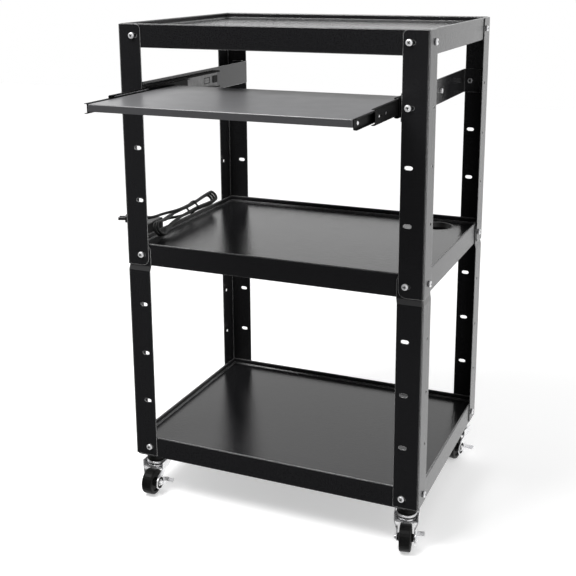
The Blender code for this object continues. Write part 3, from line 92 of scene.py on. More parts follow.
class Surface:
    """A Principled material built up from named steps."""

    def __init__(self, name, colour, roughness, metallic=0.0):
        self.material = bpy.data.materials.new(name)
        self.material.use_nodes = True
        self.tree = self.material.node_tree
        self.shader = self.tree.nodes["Principled BSDF"]
        self.coordinates = self.add("ShaderNodeTexCoord")
        self.set(self.shader, "Metallic", metallic)
        self.set(self.shader, "Roughness", roughness)
        self.set(self.shader, "Base Color", (*colour, 1.0))
        self.normal = None

    def add(self, kind, **values):
        made = self.tree.nodes.new(kind)
        for key, value in values.items():
            setattr(made, key, value)
        return made

    def set(self, node, socket, value):
        node.inputs[socket].default_value = value

    def join(self, source, target):
        self.tree.links.new(source, target)

    def noise(self, scale, detail, stretch=(1.0, 1.0, 1.0)):
        mapping = self.add("ShaderNodeMapping")
        self.set(mapping, "Scale", stretch)
        texture = self.add("ShaderNodeTexNoise")
        self.set(texture, "Scale", scale)
        self.set(texture, "Detail", detail)
        self.join(self.coordinates.outputs["Object"], mapping.inputs["Vector"])
        self.join(mapping.outputs["Vector"], texture.inputs["Vector"])
        return texture.outputs["Fac"]

    def ramp(self, source, low, high, first=0.0, last=1.0):
        """Map low to first and high to last, and hold both beyond."""
        made = self.add("ShaderNodeMapRange")
        for socket, value in (("From Min", low), ("From Max", high),
                              ("To Min", first), ("To Max", last)):
            self.set(made, socket, value)
        self.join(source, made.inputs["Value"])
        return made.outputs["Result"]

    def product(self, one, other):
        made = self.add("ShaderNodeMath", operation="MULTIPLY")
        self.join(one, made.inputs[0])
        self.join(other, made.inputs[1])
        return made.outputs["Value"]

    def vary_roughness(self, source, low, high, first, last):
        self.join(self.ramp(source, low, high, first, last), self.shader.inputs["Roughness"])

    def vary_colour(self, source, low, high, first, last):
        mix = self.add("ShaderNodeMix", data_type="RGBA")
        self.join(self.ramp(source, low, high), mix.inputs["Factor"])
        mix.inputs[6].default_value = (*first, 1.0)
        mix.inputs[7].default_value = (*last, 1.0)
        self.join(mix.outputs[2], self.shader.inputs["Base Color"])

    def paint_highlight(self, amount, colour):
        """Paint a highlight: mix a lighter colour over a base colour that varies, where amount is
        high.
        """
        mix = self.add("ShaderNodeMix", data_type="RGBA")
        base = self.shader.inputs["Base Color"]
        self.join(base.links[0].from_socket, mix.inputs[6])
        mix.inputs[7].default_value = (*colour, 1.0)
        self.join(amount, mix.inputs["Factor"])
        self.join(mix.outputs[2], base)

    def bump(self, source, distance, strength):
        made = self.add("ShaderNodeBump")
        self.set(made, "Strength", strength)
        self.set(made, "Distance", distance)
        self.join(source, made.inputs["Height"])
        self.join(self.normal, made.inputs["Normal"])
        self.normal = made.outputs["Normal"]
        self.join(self.normal, self.shader.inputs["Normal"])

    def rounded_normal(self, radius):
        made = self.add("ShaderNodeBevel", samples=BEVEL_SAMPLES)
        self.set(made, "Radius", radius)
        return made.outputs["Normal"]

    def face_normal(self):
        return self.add("ShaderNodeNewGeometry").outputs["True Normal"]

    def soften_edges(self, radius):
        self.normal = self.rounded_normal(radius)
        self.join(self.normal, self.shader.inputs["Normal"])

    def lean(self, normal, low, high, first=0.0, last=1.0):
        """A ramp on how far a normal leans upward."""
        split = self.add("ShaderNodeSeparateXYZ")
        self.join(normal, split.inputs["Vector"])
        return self.ramp(split.outputs["Z"], low, high, first, last)

    def edges(self, radius, upward=False):
        """1 along the mesh's edges within radius, or along those that face up, 0 elsewhere."""
        rounded = self.rounded_normal(radius)
        match = self.add("ShaderNodeVectorMath", operation="DOT_PRODUCT")
        self.join(rounded, match.inputs[0])
        self.join(self.face_normal(), match.inputs[1])
        amount = self.ramp(match.outputs["Value"], 0.99, 0.90)
        return self.product(amount, self.lean(rounded, 0.1, 0.4)) if upward else amount

    def slopes(self, low, high):
        """0 where a face's upward lean is low, 1 where it is high, and 0 on level faces."""
        normal = self.face_normal()
        return self.product(self.lean(normal, low, high), self.lean(normal, 0.8, 0.9, 1.0, 0.0))

    def level(self):
        """1 on level faces that look up, and 0 elsewhere."""
        return self.lean(self.face_normal(), 0.9, 0.99)


def grey(level, blue=0.0):
    return level, level, level + blue


def powder_coat(name, edge, upward=False):
    """Glossy black coat with a fine grain, with painted highlights along its edges and on its
    bent slopes.
    """
    made = Surface(name, grey(0.014, 0.001), 0.12)
    made.soften_edges(edge)
    made.bump(made.noise(270.0, 3.0), 0.0006, 0.7)
    made.bump(made.noise(1300.0, 2.0), 0.00004, 0.5)
    made.vary_roughness(made.noise(26.0, 3.0), *EVEN, 0.10, 0.15)
    made.vary_colour(made.noise(1400.0, 1.0), 0.45, 0.75, grey(0.012, 0.001), grey(0.021, 0.001))
    # Painted highlight: a pale line along the sheet edges, or only along those that face up,
    # where light would catch them.
    made.paint_highlight(made.edges(edge, upward), grey(0.60))
    # Painted highlight: a faint light band on the slopes that lean a little upward, such as the
    # legs' joggles.
    made.paint_highlight(made.slopes(0.04, 0.20), grey(0.055, 0.001))
    return made.material


def tray_coat():
    """A duller, greyer coat than the frame's, with a fine even grain, and a painted highlight
    that makes its level top paler.
    """
    made = Surface("tray_coat", grey(0.084, 0.004), 0.30)
    made.set(made.shader, "Specular IOR Level", 1.0)
    made.soften_edges(0.0006)
    made.bump(made.noise(700.0, 2.0), 0.00002, 0.4)
    made.vary_roughness(made.noise(30.0, 3.0), *EVEN, 0.28, 0.32)
    made.vary_colour(made.noise(1500.0, 1.0), 0.4, 0.7, grey(0.062, 0.003), grey(0.078, 0.004))
    # Painted highlight: level faces that look up are mixed paler, for the sheen of light across
    # the top.
    made.paint_highlight(made.level(), grey(0.155, 0.005))
    return made.material


def dull_black(name, shade, roughness, shine=0.10):
    """Black steel that gives back little of the room, with fine streaks along its length."""
    made = Surface(name, grey(shade), roughness)
    made.set(made.shader, "Specular IOR Level", shine)
    made.soften_edges(0.0004)
    made.bump(made.noise(300.0, 3.0, (1.0, 0.03, 1.0)), 0.00003, 0.4)
    made.vary_roughness(made.noise(60.0, 3.0, (1.0, 0.1, 1.0)), *EVEN,
                        roughness - 0.05, roughness + 0.08)
    made.vary_colour(made.noise(90.0, 3.0), *MOSTLY_FIRST, grey(shade), grey(shade * 1.8))
    return made.material


def zinc(name, roughness, metallic=0.72):
    made = Surface(name, grey(0.86, 0.01), roughness, metallic)
    made.soften_edges(0.0004)
    made.bump(made.noise(420.0, 4.0), 0.00004, 0.3)
    made.vary_roughness(made.noise(110.0, 4.0), *EVEN, roughness - 0.06, roughness + 0.10)
    made.vary_colour(made.noise(70.0, 3.0), 0.35, 0.7, grey(0.76, 0.02), grey(0.92))
    return made.material


# Used only for the screw heads' cross recesses, where its dark colour is painted shade.
def rubber(name, shade, roughness):
    made = Surface(name, grey(shade), roughness)
    made.soften_edges(0.0005)
    made.bump(made.noise(500.0, 3.0), 0.00008, 0.4)
    made.vary_roughness(made.noise(80.0, 3.0), *EVEN, roughness - 0.08, roughness + 0.08)
    made.vary_colour(made.noise(45.0, 3.0), *MOSTLY_FIRST, grey(shade), grey(shade * 1.7))
    return made.material


def plastic(name, shade):
    """Moulded black plastic, with a painted highlight along its upper edges."""
    made = Surface(name, grey(shade), 0.42)
    made.soften_edges(0.0006)
    made.bump(made.noise(700.0, 2.0), 0.00006, 0.6)
    made.vary_roughness(made.noise(60.0, 2.0), *EVEN, 0.38, 0.50)
    made.vary_colour(made.noise(300.0, 2.0), 0.35, 0.7, grey(shade), grey(shade * 1.5))
    # Painted highlight: a pale line along the edges that face up.
    made.paint_highlight(made.edges(0.0010, upward=True), grey(0.55))
    return made.material


COAT = powder_coat("powder_coat", 0.0012)
SHELF_COAT = powder_coat("shelf_powder_coat", 0.0016, upward=True)
TRAY_COAT = tray_coat()
SLIDE = dull_black("slide_black", 0.004, 0.42, 0.06)
SLIDE_WEB = dull_black("slide_web_grey", 0.10, 0.34, 0.7)
SOCKET = dull_black("socket_black", 0.006, 0.48)
SHADOW = dull_black("joint_shadow", 0.004, 0.60)
ZINC = zinc("caster_zinc", 0.26)
SCREW_ZINC = zinc("screw_zinc", 0.24, 0.45)
# Painted shade: the dark material of the screw heads' cross recesses.
RECESS = rubber("screw_recess_shade", 0.006, 0.6)
WHEEL = dull_black("wheel_black", 0.005, 0.38)
RUBBER = dull_black("soft_rubber", 0.005, 0.50)
PLASTIC = plastic("moulded_black", 0.014)
JACKET = dull_black("cord_jacket_black", 0.006, 0.36, 0.3)

# By the slot of the record, and by the end of a node's name where a piece differs from its slot
FINISH = {"black_powder_coat": COAT, "black_slide_steel": SLIDE, "bright_zinc": ZINC,
          "black_rubber": RUBBER, "black_plastic": PLASTIC, "cord_jacket": JACKET}
SPECIAL = {"_wheel": WHEEL, "_stem_socket": SOCKET, "keyboard_tray": TRAY_COAT,
           "_shelf": SHELF_COAT}
for part in frame["record"]["subparts"]:
    mesh = nodes[part["node"]].data
    surface = next((own for end, own in SPECIAL.items() if part["node"].endswith(end)),
                   FINISH[part["material_slot"]])
    mesh.materials.clear()
    mesh.materials.append(surface)
    mesh.polygons.foreach_set("material_index", [0] * len(mesh.polygons))


# Faces of the CAD nodes that differ from the rest: screw heads, slide screws and slide webs

SLIDE_HEIGHT = 0.8440
TRAY_FRONT = -HALF_DEPTH - 0.203
TRAY_LENGTH = 0.299
INNER_SCREW_FROM_END = 0.018
INNER_SCREWS = [TRAY_FRONT + INNER_SCREW_FROM_END, TRAY_FRONT + TRAY_LENGTH / 2,
                TRAY_FRONT + TRAY_LENGTH - INNER_SCREW_FROM_END]
SMALL_HEAD_REACH = 0.0037
BRACKET_FACE = 0.2545
BRACKET_SHEET = 0.0016
SLIDE_WEB_FACE = BRACKET_FACE - 0.0013
SAME_PLANE = 0.0001


def paint(name, surface, test):
    """Give the faces of a node whose middle passes a test another material."""
    mesh = nodes[name].data
    mesh.materials.append(surface)
    index = len(mesh.materials) - 1
    for face in mesh.polygons:
        if test(nodes[name].matrix_world @ face.center - CART):
            face.material_index = index


def on_inner_screw(p):
    return min(math.hypot(p.y - y, p.z - SLIDE_HEIGHT) for y in INNER_SCREWS) < SMALL_HEAD_REACH


for name in ("top_shelf", "middle_shelf", "bottom_shelf", "left_slide_bracket",
             "right_slide_bracket"):
    paint(name, SCREW_ZINC, lambda p: abs(p.x) > HALF_WIDTH or abs(p.y) > HALF_DEPTH)
for name in ("left_slide_outer", "right_slide_outer"):
    paint(name, SCREW_ZINC, lambda p: abs(p.x) > BRACKET_FACE + BRACKET_SHEET)
    paint(name, SLIDE_WEB, lambda p: abs(abs(p.x) - SLIDE_WEB_FACE) < SAME_PLANE)
for name in ("left_slide_inner", "right_slide_inner"):
    paint(name, SCREW_ZINC, on_inner_screw)


# Cord: one tube along the lead, the hank and the tail of the CAD source

CORD_DIAMETER = 0.0060
BOX_INNER_SIDE = -0.3017
BOX_FRONT = -0.160
BOX_REAR = -0.093
BOX_TOP = 0.5675
GLAND_OUT = 0.018
GLAND_ABOVE_RIM = 0.0045
GLAND_LENGTH = 0.024
DECK_RECESS = 0.012
HANK_START = 0.14
HANK_END = 2.62
HANK_PITCH = 0.0073
HANK_STEPS_PER_TURN = 24
# Along the rim, then how far the lowest strand lies outside the rim's middle and above it, the
# hank's width, and its lean in degrees
HANK_STATIONS = [(-0.138, -0.0150, -DECK_RECESS, 0.028, 64.0),
                 (-0.100, -0.0045, -0.0040, 0.0165, 72.0),
                 (-0.055, -0.0005, 0.0, 0.014, 62.0),
                 (0.024, -0.0005, 0.0016, 0.013, 50.0),
                 (0.117, -0.0005, 0.0, 0.021, 50.0)]
# Along, outside and above
TAIL_CREST = (-0.080, -0.0020, 0.0236)
TAIL_CREST_WAY = (-0.30, -0.954, 0.0)
PLUG_HEIGHT = 0.0150
PLUG_HEADING_DEGREES = 200.0
PLUG_BACK_FROM_BOX_FRONT = 0.014
PLUG_IN_FROM_BOX_SIDE = 0.022
BOW_STEP = 2.2 * CORD_DIAMETER
FEWEST_BOW_STEPS = 6
rim_line = -MIDDLE_RIM_SIDE + RIM_THICKNESS / 2
rim_rest = MIDDLE_RIM_TOP + SEAT_GAP + CORD_DIAMETER / 2


def eased(share):
    """A share between nought and one that starts and stops gently."""
    share = min(max(share, 0.0), 1.0)
    return share * share * (3 - 2 * share)


def hank_section(along):
    """The hank at one place along the rim: out, up, width and lean."""
    for near, far in zip(HANK_STATIONS, HANK_STATIONS[1:]):
        if along <= far[0]:
            share = eased((along - near[0]) / (far[0] - near[0]))
            return [a + (b - a) * share for a, b in zip(near[1:], far[1:])]
    return list(HANK_STATIONS[-1][1:])


def hank_point(turns):
    """A point of the hank, whose long loops lie beside each other and lean on the box."""
    quarter = turns * 4 % 4
    share = quarter % 1
    near, far = HANK_STATIONS[0][0], HANK_STATIONS[-1][0]
    if quarter < 1:
        along, side, reach = near + (far - near) * share, -1.0, 0.0
    elif quarter < 2:
        along, side, reach = far, -math.cos(math.pi * share), math.sin(math.pi * share)
    elif quarter < 3:
        along, side, reach = far - (far - near) * share, 1.0, 0.0
    else:
        along, side, reach = near, math.cos(math.pi * share), -math.sin(math.pi * share)
    out, up, width, lean = hank_section(along)
    tilt = math.radians(lean)
    spread = width / 2 * (1 + side)
    stack = (turns - HANK_START) * HANK_PITCH
    return Vector((rim_line - out - spread * math.cos(tilt) + stack * math.sin(tilt),
                   along + reach * width / 2,
                   rim_rest + up + spread * math.sin(tilt) + stack * math.cos(tilt)))


def bow(start, start_way, end, end_way):
    """A smooth run of cord between two ends, straight for one diameter at each."""
    first, last = start + start_way * CORD_DIAMETER, end - end_way * CORD_DIAMETER
    reach = (last - first).length
    steps = max(FEWEST_BOW_STEPS, round(reach / BOW_STEP))
    route = [start]
    for i in range(steps + 1):
        t = i / steps
        route.append(first * (2 * t ** 3 - 3 * t ** 2 + 1) + last * (3 * t ** 2 - 2 * t ** 3)
                     + start_way * reach * (t ** 3 - 2 * t ** 2 + t)
                     + end_way * reach * (t ** 3 - t ** 2))
    route.append(end)
    return route


hank_turns = HANK_END - HANK_START
hank_steps = round(hank_turns * HANK_STEPS_PER_TURN)
hank = [hank_point(HANK_START + hank_turns * i / hank_steps) for i in range(hank_steps + 1)]
hank_in = (hank[1] - hank[0]).normalized()
hank_out = (hank[-1] - hank[-2]).normalized()
exit_point = Vector((BOX_INNER_SIDE - GLAND_OUT, BOX_REAR + SEAT_GAP + GLAND_LENGTH,
                     MIDDLE_RIM_TOP + GLAND_ABOVE_RIM))
lead = bow(exit_point + Vector((0.0, SEAT_GAP, 0.0)), Vector((0.0, 1.0, 0.0)),
           hank[0] - hank_in * SEAT_GAP, hank_in)
heading = math.radians(PLUG_HEADING_DEGREES)
plug_way = Vector((math.cos(heading), math.sin(heading), 0.0))
plug_mouth = Vector((BOX_INNER_SIDE - PLUG_IN_FROM_BOX_SIDE, BOX_FRONT + PLUG_BACK_FROM_BOX_FRONT,
                     BOX_TOP + SEAT_GAP + PLUG_HEIGHT / 2))
crest = Vector((rim_line - TAIL_CREST[1], TAIL_CREST[0], rim_rest + TAIL_CREST[2]))
crest_way = Vector(TAIL_CREST_WAY).normalized()
tail = bow(hank[-1] + hank_out * SEAT_GAP, hank_out, crest, crest_way)
tail += bow(crest, crest_way, plug_mouth - plug_way * SEAT_GAP, plug_way)[1:]
route = lead + hank[1:-1] + tail

curve = bpy.data.curves.new("power_cord", "CURVE")
curve.dimensions = "3D"
curve.bevel_depth = CORD_DIAMETER / 2
curve.bevel_resolution = 4
curve.use_fill_caps = True
curve.resolution_u = 6
spline = curve.splines.new("BEZIER")
spline.bezier_points.add(len(route) - 1)
for i, place in enumerate(route):
    knot = spline.bezier_points[i]
    knot.co = place + CART
    before, after = route[max(i - 1, 0)], route[min(i + 1, len(route) - 1)]
    way = (after - before).normalized()
    knot.handle_left_type = knot.handle_right_type = "FREE"
    back = (place - before).length / 3
    ahead = (after - place).length / 3
    knot.handle_left = place + CART - way * (back or ahead)
    knot.handle_right = place + CART + way * (ahead or back)
cord = bpy.data.objects.new("power_cord", curve)
scene.collection.objects.link(cord)
curve.materials.append(JACKET)
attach(cord, "cart_frame")
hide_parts("cord_lead", "cord_hank", "cord_tail")


# Meshes of the small pieces

def turned_rows(builder, profile, segments):
    """Rings of vertices about Z, one for each (radius, height) of a profile."""
    return [[builder.verts.new((r * math.cos(2 * math.pi * i / segments),
                                r * math.sin(2 * math.pi * i / segments), h))
             for i in range(segments)] for r, h in profile]


def skin(builder, rows, smooth=False):
    """Faces between each ring of vertices and the next."""
    for low, high in zip(rows, rows[1:]):
        for i in range(len(low)):
            j = (i + 1) % len(low)
            builder.faces.new((low[i], low[j], high[j], high[i])).smooth = smooth


def finished(builder, name, *surfaces):
    """Turn a bmesh into a named mesh with its materials."""
    mesh = bpy.data.meshes.new(name)
    builder.to_mesh(mesh)
    builder.free()
    for surface in surfaces:
        mesh.materials.append(surface)
    return mesh


def linked(name, mesh):
    made = bpy.data.objects.new(name, mesh)
    scene.collection.objects.link(made)
    return made


def facing(way):
    """The turn that points +Z along a direction."""
    return way.to_track_quat("Z", "Y").to_matrix().to_4x4()


# Screw heads with a cross recess, standing over the plain heads of the solids

HEAD_RADIUS = 0.00605
HEAD_HEIGHT = 0.0045
HEAD_SEGMENTS = 32
# Shares of the radius and of the height, from the seat up
HEAD_PROFILE = [(1.0, 0.0), (1.0, 0.40), (0.985, 0.55), (0.93, 0.72), (0.82, 0.87), (0.64, 0.96),
                (0.40, 1.0)]
CROSS_ARM = 0.0036
CROSS_WIDTH = 0.0021
CROSS_DEPTH = 0.0013
# How much the recess narrows towards its floor, along and across its arms
CROSS_TAPER = (0.55, 0.8)
# Turn from each head to the next, in radians, so that no two crosses stand alike
HEAD_TURN = 1.7


def screw_head_mesh():
    """A pan head facing +Z with a cross sunk into its top, and its recess floor dark with painted
    shade.
    """
    builder = bmesh.new()
    rows = turned_rows(builder, [(HEAD_RADIUS * r, HEAD_HEIGHT * h) for r, h in HEAD_PROFILE],
                       HEAD_SEGMENTS)
    skin(builder, rows, smooth=True)
    builder.faces.new(rows[-1])
    builder.faces.new(list(reversed(rows[0])))
    head = linked("pan_head", finished(builder, "pan_head", SCREW_ZINC, RECESS))
    builder = bmesh.new()
    arm, half = CROSS_ARM, CROSS_WIDTH / 2
    outline = [(arm, -half), (arm, half), (half, half), (half, arm), (-half, arm), (-half, half),
               (-arm, half), (-arm, -half), (-half, -half), (-half, -arm), (half, -arm),
               (half, -half)]
    low = [builder.verts.new((x * CROSS_TAPER[0], y * CROSS_TAPER[1], HEAD_HEIGHT - CROSS_DEPTH))
           for x, y in outline]
    high = [builder.verts.new((x, y, HEAD_HEIGHT + CROSS_DEPTH)) for x, y in outline]
    skin(builder, [low, high])
    builder.faces.new(list(reversed(low)))
    builder.faces.new(high)
    bmesh.ops.recalc_face_normals(builder, faces=builder.faces[:])
    cutter = linked("cross", finished(builder, "cross", RECESS))
    step = head.modifiers.new("recess", "BOOLEAN")
    step.operation = "DIFFERENCE"
    step.solver = "EXACT"
    step.material_mode = "TRANSFER"
    step.object = cutter
    graph = bpy.context.evaluated_depsgraph_get()
    made = bpy.data.meshes.new_from_object(head.evaluated_get(graph))
    bpy.data.objects.remove(head)
    bpy.data.objects.remove(cutter)
    return made


HOLE_FROM_CORNER = 0.0330
TOP_SHIFT = 0.0035
# Each row of shelf screws by its height, with how far its front and rear ones sit to the left
SCREW_SHIFTS = {0.1090: 0.0, 0.5250: 0.0018, 0.9550: TOP_SHIFT}
head_mesh = screw_head_mesh()
places = []
for height, shift in SCREW_SHIFTS.items():
    for sx in (-1, 1):
        for sy in (-1, 1):
            places.append((Vector((sx * (HALF_WIDTH - HOLE_FROM_CORNER) - shift,
                                   sy * (HALF_DEPTH + SEAT_GAP), height)), Vector((0, sy, 0))))
            places.append((Vector((sx * (HALF_WIDTH + SEAT_GAP),
                                   sy * (HALF_DEPTH - HOLE_FROM_CORNER), height)),
                           Vector((sx, 0, 0))))
for sx in (-1, 1):
    for sy in (-1, 1):
        places.append((Vector((sx * (HALF_WIDTH - HOLE_FROM_CORNER) - TOP_SHIFT,
                               sy * (HALF_DEPTH + SEAT_GAP), SLIDE_HEIGHT)), Vector((0, sy, 0))))
builder = bmesh.new()
for count, (place, way) in enumerate(places):
    copy = head_mesh.copy()
    turn = Matrix.Rotation(count * HEAD_TURN, 4, "Z")
    copy.transform(Matrix.Translation(place + CART) @ facing(way) @ turn)
    builder.from_mesh(copy)
    bpy.data.meshes.remove(copy)
heads = linked("screw_heads", finished(builder, "screw_heads", SCREW_ZINC, RECESS))
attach(heads, "cart_frame")


# Casters: painted shade rings at the joints of the stacked rings, and each brake disc's rim and
# its groove of painted shade

CASTER_FROM_FACE = 0.0300
CASTER_TRAIL = 0.0228
WHEEL_RADIUS = 0.0265
SWIVEL_DEGREES = {"front_left": 1.0, "front_right": 12.0, "rear_left": 6.0, "rear_right": -10.0}
DISC_FACE = 0.0194
RING_SEGMENTS = 40
SECTION_STEPS = 10
# Each shade ring's joint radius, height, half width and half height, and the node that it rides
# with
JOINT_SHADE_RINGS = {"cup_joint_shade": (0.0184, 0.0703, 0.0011, 0.0006, "caster_head"),
          "race_joint_shade": (0.0184, 0.0620, 0.0010, 0.0006, "caster_head"),
          "crown_joint_shade": (0.0190, 0.0570, 0.0006, 0.0005, "fork")}
# Profiles in (radius, height over the disc's face)
DISC_RIM = [(0.0120, -0.0002), (0.0120, 0.0007), (0.0125, 0.0011), (0.0134, 0.0010),
            (0.0140, 0.0004), (0.0140, -0.0002)]
DISC_GROOVE_SHADE = [(0.0072, -0.0002), (0.0072, 0.0003), (0.0118, 0.0003), (0.0118, -0.0002)]


def lathed(name, profile, place, surface, carrier, segments=RING_SEGMENTS):
    """A closed ring turned from a profile, set in place and riding where a node rides."""
    builder = bmesh.new()
    rows = turned_rows(builder, profile, segments)
    skin(builder, rows + rows[:1], smooth=True)
    bmesh.ops.recalc_face_normals(builder, faces=builder.faces[:])
    mesh = finished(builder, name, surface)
    mesh.transform(place)
    ring = linked(name, mesh)
    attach(ring, body_of(nodes[carrier])[0])
    return ring


def round_section(radius, height, half_width, half_height):
    angles = [2 * math.pi * i / SECTION_STEPS for i in range(SECTION_STEPS)]
    return [(radius + half_width * math.cos(a), height + half_height * math.sin(a))
            for a in angles]


for corner, degrees in SWIVEL_DEGREES.items():
    sx = -1 if "left" in corner else 1
    sy = -1 if "front" in corner else 1
    stem = Vector((sx * (HALF_WIDTH - CASTER_FROM_FACE), sy * (HALF_DEPTH - CASTER_FROM_FACE),
                   0.0)) + CART
    fixed = Matrix.Translation(stem)
    turned = fixed @ Matrix.Rotation(math.radians(degrees), 4, "Z")
    # Painted shade: a thin dark ring laid round each joint of the stacked rings, where its
    # crevice is in shade.
    for joint, (*section, carrier) in JOINT_SHADE_RINGS.items():
        lathed(corner + "_" + joint, round_section(*section), fixed, SHADOW,
               corner + "_" + carrier)
    out = (turned @ Matrix.Translation((DISC_FACE, -CASTER_TRAIL, WHEEL_RADIUS))
           @ Matrix.Rotation(math.pi / 2, 4, "Y"))
    rim = lathed(corner + "_disc_rim", DISC_RIM, out, ZINC, corner + "_brake_lever")
    # Painted shade: a flat dark ring on the disc face for its groove in shade.
    lathed(corner + "_disc_groove_shade", DISC_GROOVE_SHADE, out, SHADOW, corner + "_brake_lever")


# Slides: nuts on the bracket screws, and a rivet near the front end of each middle member

BRACKET_TAB_FACE = HALF_DEPTH - 0.0036
NUT_PROFILE = [(0.0033, 0.0), (0.0033, 0.0038), (0.0050, 0.0038), (0.0058, 0.0030), (0.0058, 0.0)]
NUT_SIDES = 6
MIDDLE_FRONT = -HALF_DEPTH - 0.1235
MIDDLE_WEB = 0.0030
RIVET_FROM_FRONT = 0.0195
RIVET_PROFILE = [(0.0003, -0.0002), (0.0003, 0.0007), (0.0014, 0.0006), (0.0021, 0.0003),
                 (0.0023, -0.0002)]
RIVET_SEGMENTS = 20
for side, sx in (("left", -1), ("right", 1)):
    for sy in (-1, 1):
        seat = Vector((sx * (HALF_WIDTH - HOLE_FROM_CORNER) - TOP_SHIFT, sy * BRACKET_TAB_FACE,
                       SLIDE_HEIGHT))
        nut = lathed(side + ("_front" if sy < 0 else "_rear") + "_bracket_nut", NUT_PROFILE,
                     Matrix.Translation(seat + CART) @ facing(Vector((0, -sy, 0))), SCREW_ZINC,
                     side + "_slide_bracket", NUT_SIDES)
    seat = Vector((sx * (BRACKET_FACE - MIDDLE_WEB), MIDDLE_FRONT + RIVET_FROM_FRONT,
                   SLIDE_HEIGHT))
    rivet = lathed(side + "_slide_rivet", RIVET_PROFILE,
                   Matrix.Translation(seat + CART) @ facing(Vector((sx, 0, 0))), SCREW_ZINC,
                   side + "_slide_intermediate", RIVET_SEGMENTS)


# Slides: the stamped rectangle with two dimples in each outer member's web, by its bumper, in
# painted shade

STAMP_MIDDLE = 0.0265
STAMP_LENGTH = 0.026
STAMP_HEIGHT = 0.013
STAMP_LINE = 0.0013
STAMP_THICKNESS = 0.0003
DIMPLE_OFFSET = 0.0045
DIMPLE_RADIUS = 0.0011
DIMPLE_FLATTENING = 0.25
for side, sx in (("left", -1), ("right", 1)):
    builder = bmesh.new()
    corners = []
    for inset, depth in ((0.0, 0.0), (0.0, STAMP_THICKNESS), (STAMP_LINE, STAMP_THICKNESS),
                         (STAMP_LINE, 0.0)):
        half_y, half_z = STAMP_LENGTH / 2 - inset, STAMP_HEIGHT / 2 - inset
        corners.append([builder.verts.new(Vector((sx * (SLIDE_WEB_FACE - depth),
                                                  STAMP_MIDDLE + u * half_y,
                                                  SLIDE_HEIGHT + v * half_z)) + CART)
                        for u, v in ((-1, -1), (1, -1), (1, 1), (-1, 1))])
    skin(builder, corners + corners[:1])
    for u in (-DIMPLE_OFFSET, DIMPLE_OFFSET):
        dimple = Vector((sx * SLIDE_WEB_FACE, STAMP_MIDDLE + u, SLIDE_HEIGHT)) + CART
        bmesh.ops.create_uvsphere(builder, u_segments=12, v_segments=6, radius=DIMPLE_RADIUS,
                                  matrix=Matrix.Translation(dimple)
                                  @ Matrix.Diagonal((DIMPLE_FLATTENING, 1.0, 1.0, 1.0)))
    bmesh.ops.recalc_face_normals(builder, faces=builder.faces[:])
    # Painted shade: the stamped lines and dimples take the dark shadow material.
    stamp = linked(side + "_slide_stamp_shade", finished(builder, side + "_slide_stamp_shade", SHADOW))
    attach(stamp, body_of(nodes[side + "_slide_outer"])[0])


# World: white to camera, glossy and transmission rays. To the rest it is dim at eye level, bright
# in a band above it and toward the ground, and unlit ahead of the cart's front.

# Radiance by the upward part of a direction
LEVELS = [(-0.60, 1.70), (-0.45, 1.70), (-0.28, 1.55), (-0.05, 0.80), (0.08, 0.65), (0.20, 1.45),
          (0.27, 1.80), (0.34, 1.35), (0.45, 0.60)]
BRIGHTEST = 2.5
AHEAD = Vector((-0.41, -0.91, 0.0))
UNLIT_FROM = 0.42
UNLIT_TO = 0.80
UNLIT_SHARE = 0.08

world = bpy.data.worlds.new("studio")
scene.world = world
world.use_nodes = True
tree = world.node_tree
tree.nodes.clear()
output = tree.nodes.new("ShaderNodeOutputWorld")
seen = tree.nodes.new("ShaderNodeBackground")
seen.inputs["Color"].default_value = (1.0, 1.0, 1.0, 1.0)
seen.inputs["Strength"].default_value = 1.0
around = tree.nodes.new("ShaderNodeBackground")
where = tree.nodes.new("ShaderNodeTexCoord")
split = tree.nodes.new("ShaderNodeSeparateXYZ")
tree.links.new(where.outputs["Generated"], split.inputs["Vector"])
share = tree.nodes.new("ShaderNodeMapRange")
share.inputs["From Min"].default_value = -1.0
tree.links.new(split.outputs["Z"], share.inputs["Value"])
banded = tree.nodes.new("ShaderNodeValToRGB")
stops = banded.color_ramp.elements
while len(stops) < len(LEVELS):
    stops.new(0.5)
for stop, (rise, radiance) in zip(stops, LEVELS):
    stop.position = (rise + 1) / 2
    stop.color = (*(radiance / BRIGHTEST,) * 3, 1.0)
tree.links.new(share.outputs["Result"], banded.inputs["Fac"])
tree.links.new(banded.outputs["Color"], around.inputs["Color"])
toward = tree.nodes.new("ShaderNodeVectorMath")
toward.operation = "DOT_PRODUCT"
toward.inputs[1].default_value = AHEAD
tree.links.new(where.outputs["Generated"], toward.inputs[0])
unlit = tree.nodes.new("ShaderNodeMapRange")
unlit.interpolation_type = "SMOOTHSTEP"
for socket, value in (("From Min", UNLIT_FROM), ("From Max", UNLIT_TO), ("To Min", BRIGHTEST),
                      ("To Max", UNLIT_SHARE)):
    unlit.inputs[socket].default_value = value
tree.links.new(toward.outputs["Value"], unlit.inputs["Value"])
tree.links.new(unlit.outputs["Result"], around.inputs["Strength"])
path = tree.nodes.new("ShaderNodeLightPath")
shows_white = path.outputs["Is Camera Ray"]
for kind in ("Is Transmission Ray", "Is Glossy Ray"):
    either = tree.nodes.new("ShaderNodeMath")
    either.operation = "MAXIMUM"
    tree.links.new(shows_white, either.inputs[0])
    tree.links.new(path.outputs[kind], either.inputs[1])
    shows_white = either.outputs["Value"]
mix = tree.nodes.new("ShaderNodeMixShader")
tree.links.new(shows_white, mix.inputs["Fac"])
tree.links.new(around.outputs["Background"], mix.inputs[1])
tree.links.new(seen.outputs["Background"], mix.inputs[2])
tree.links.new(mix.outputs["Shader"], output.inputs["Surface"])


# Light

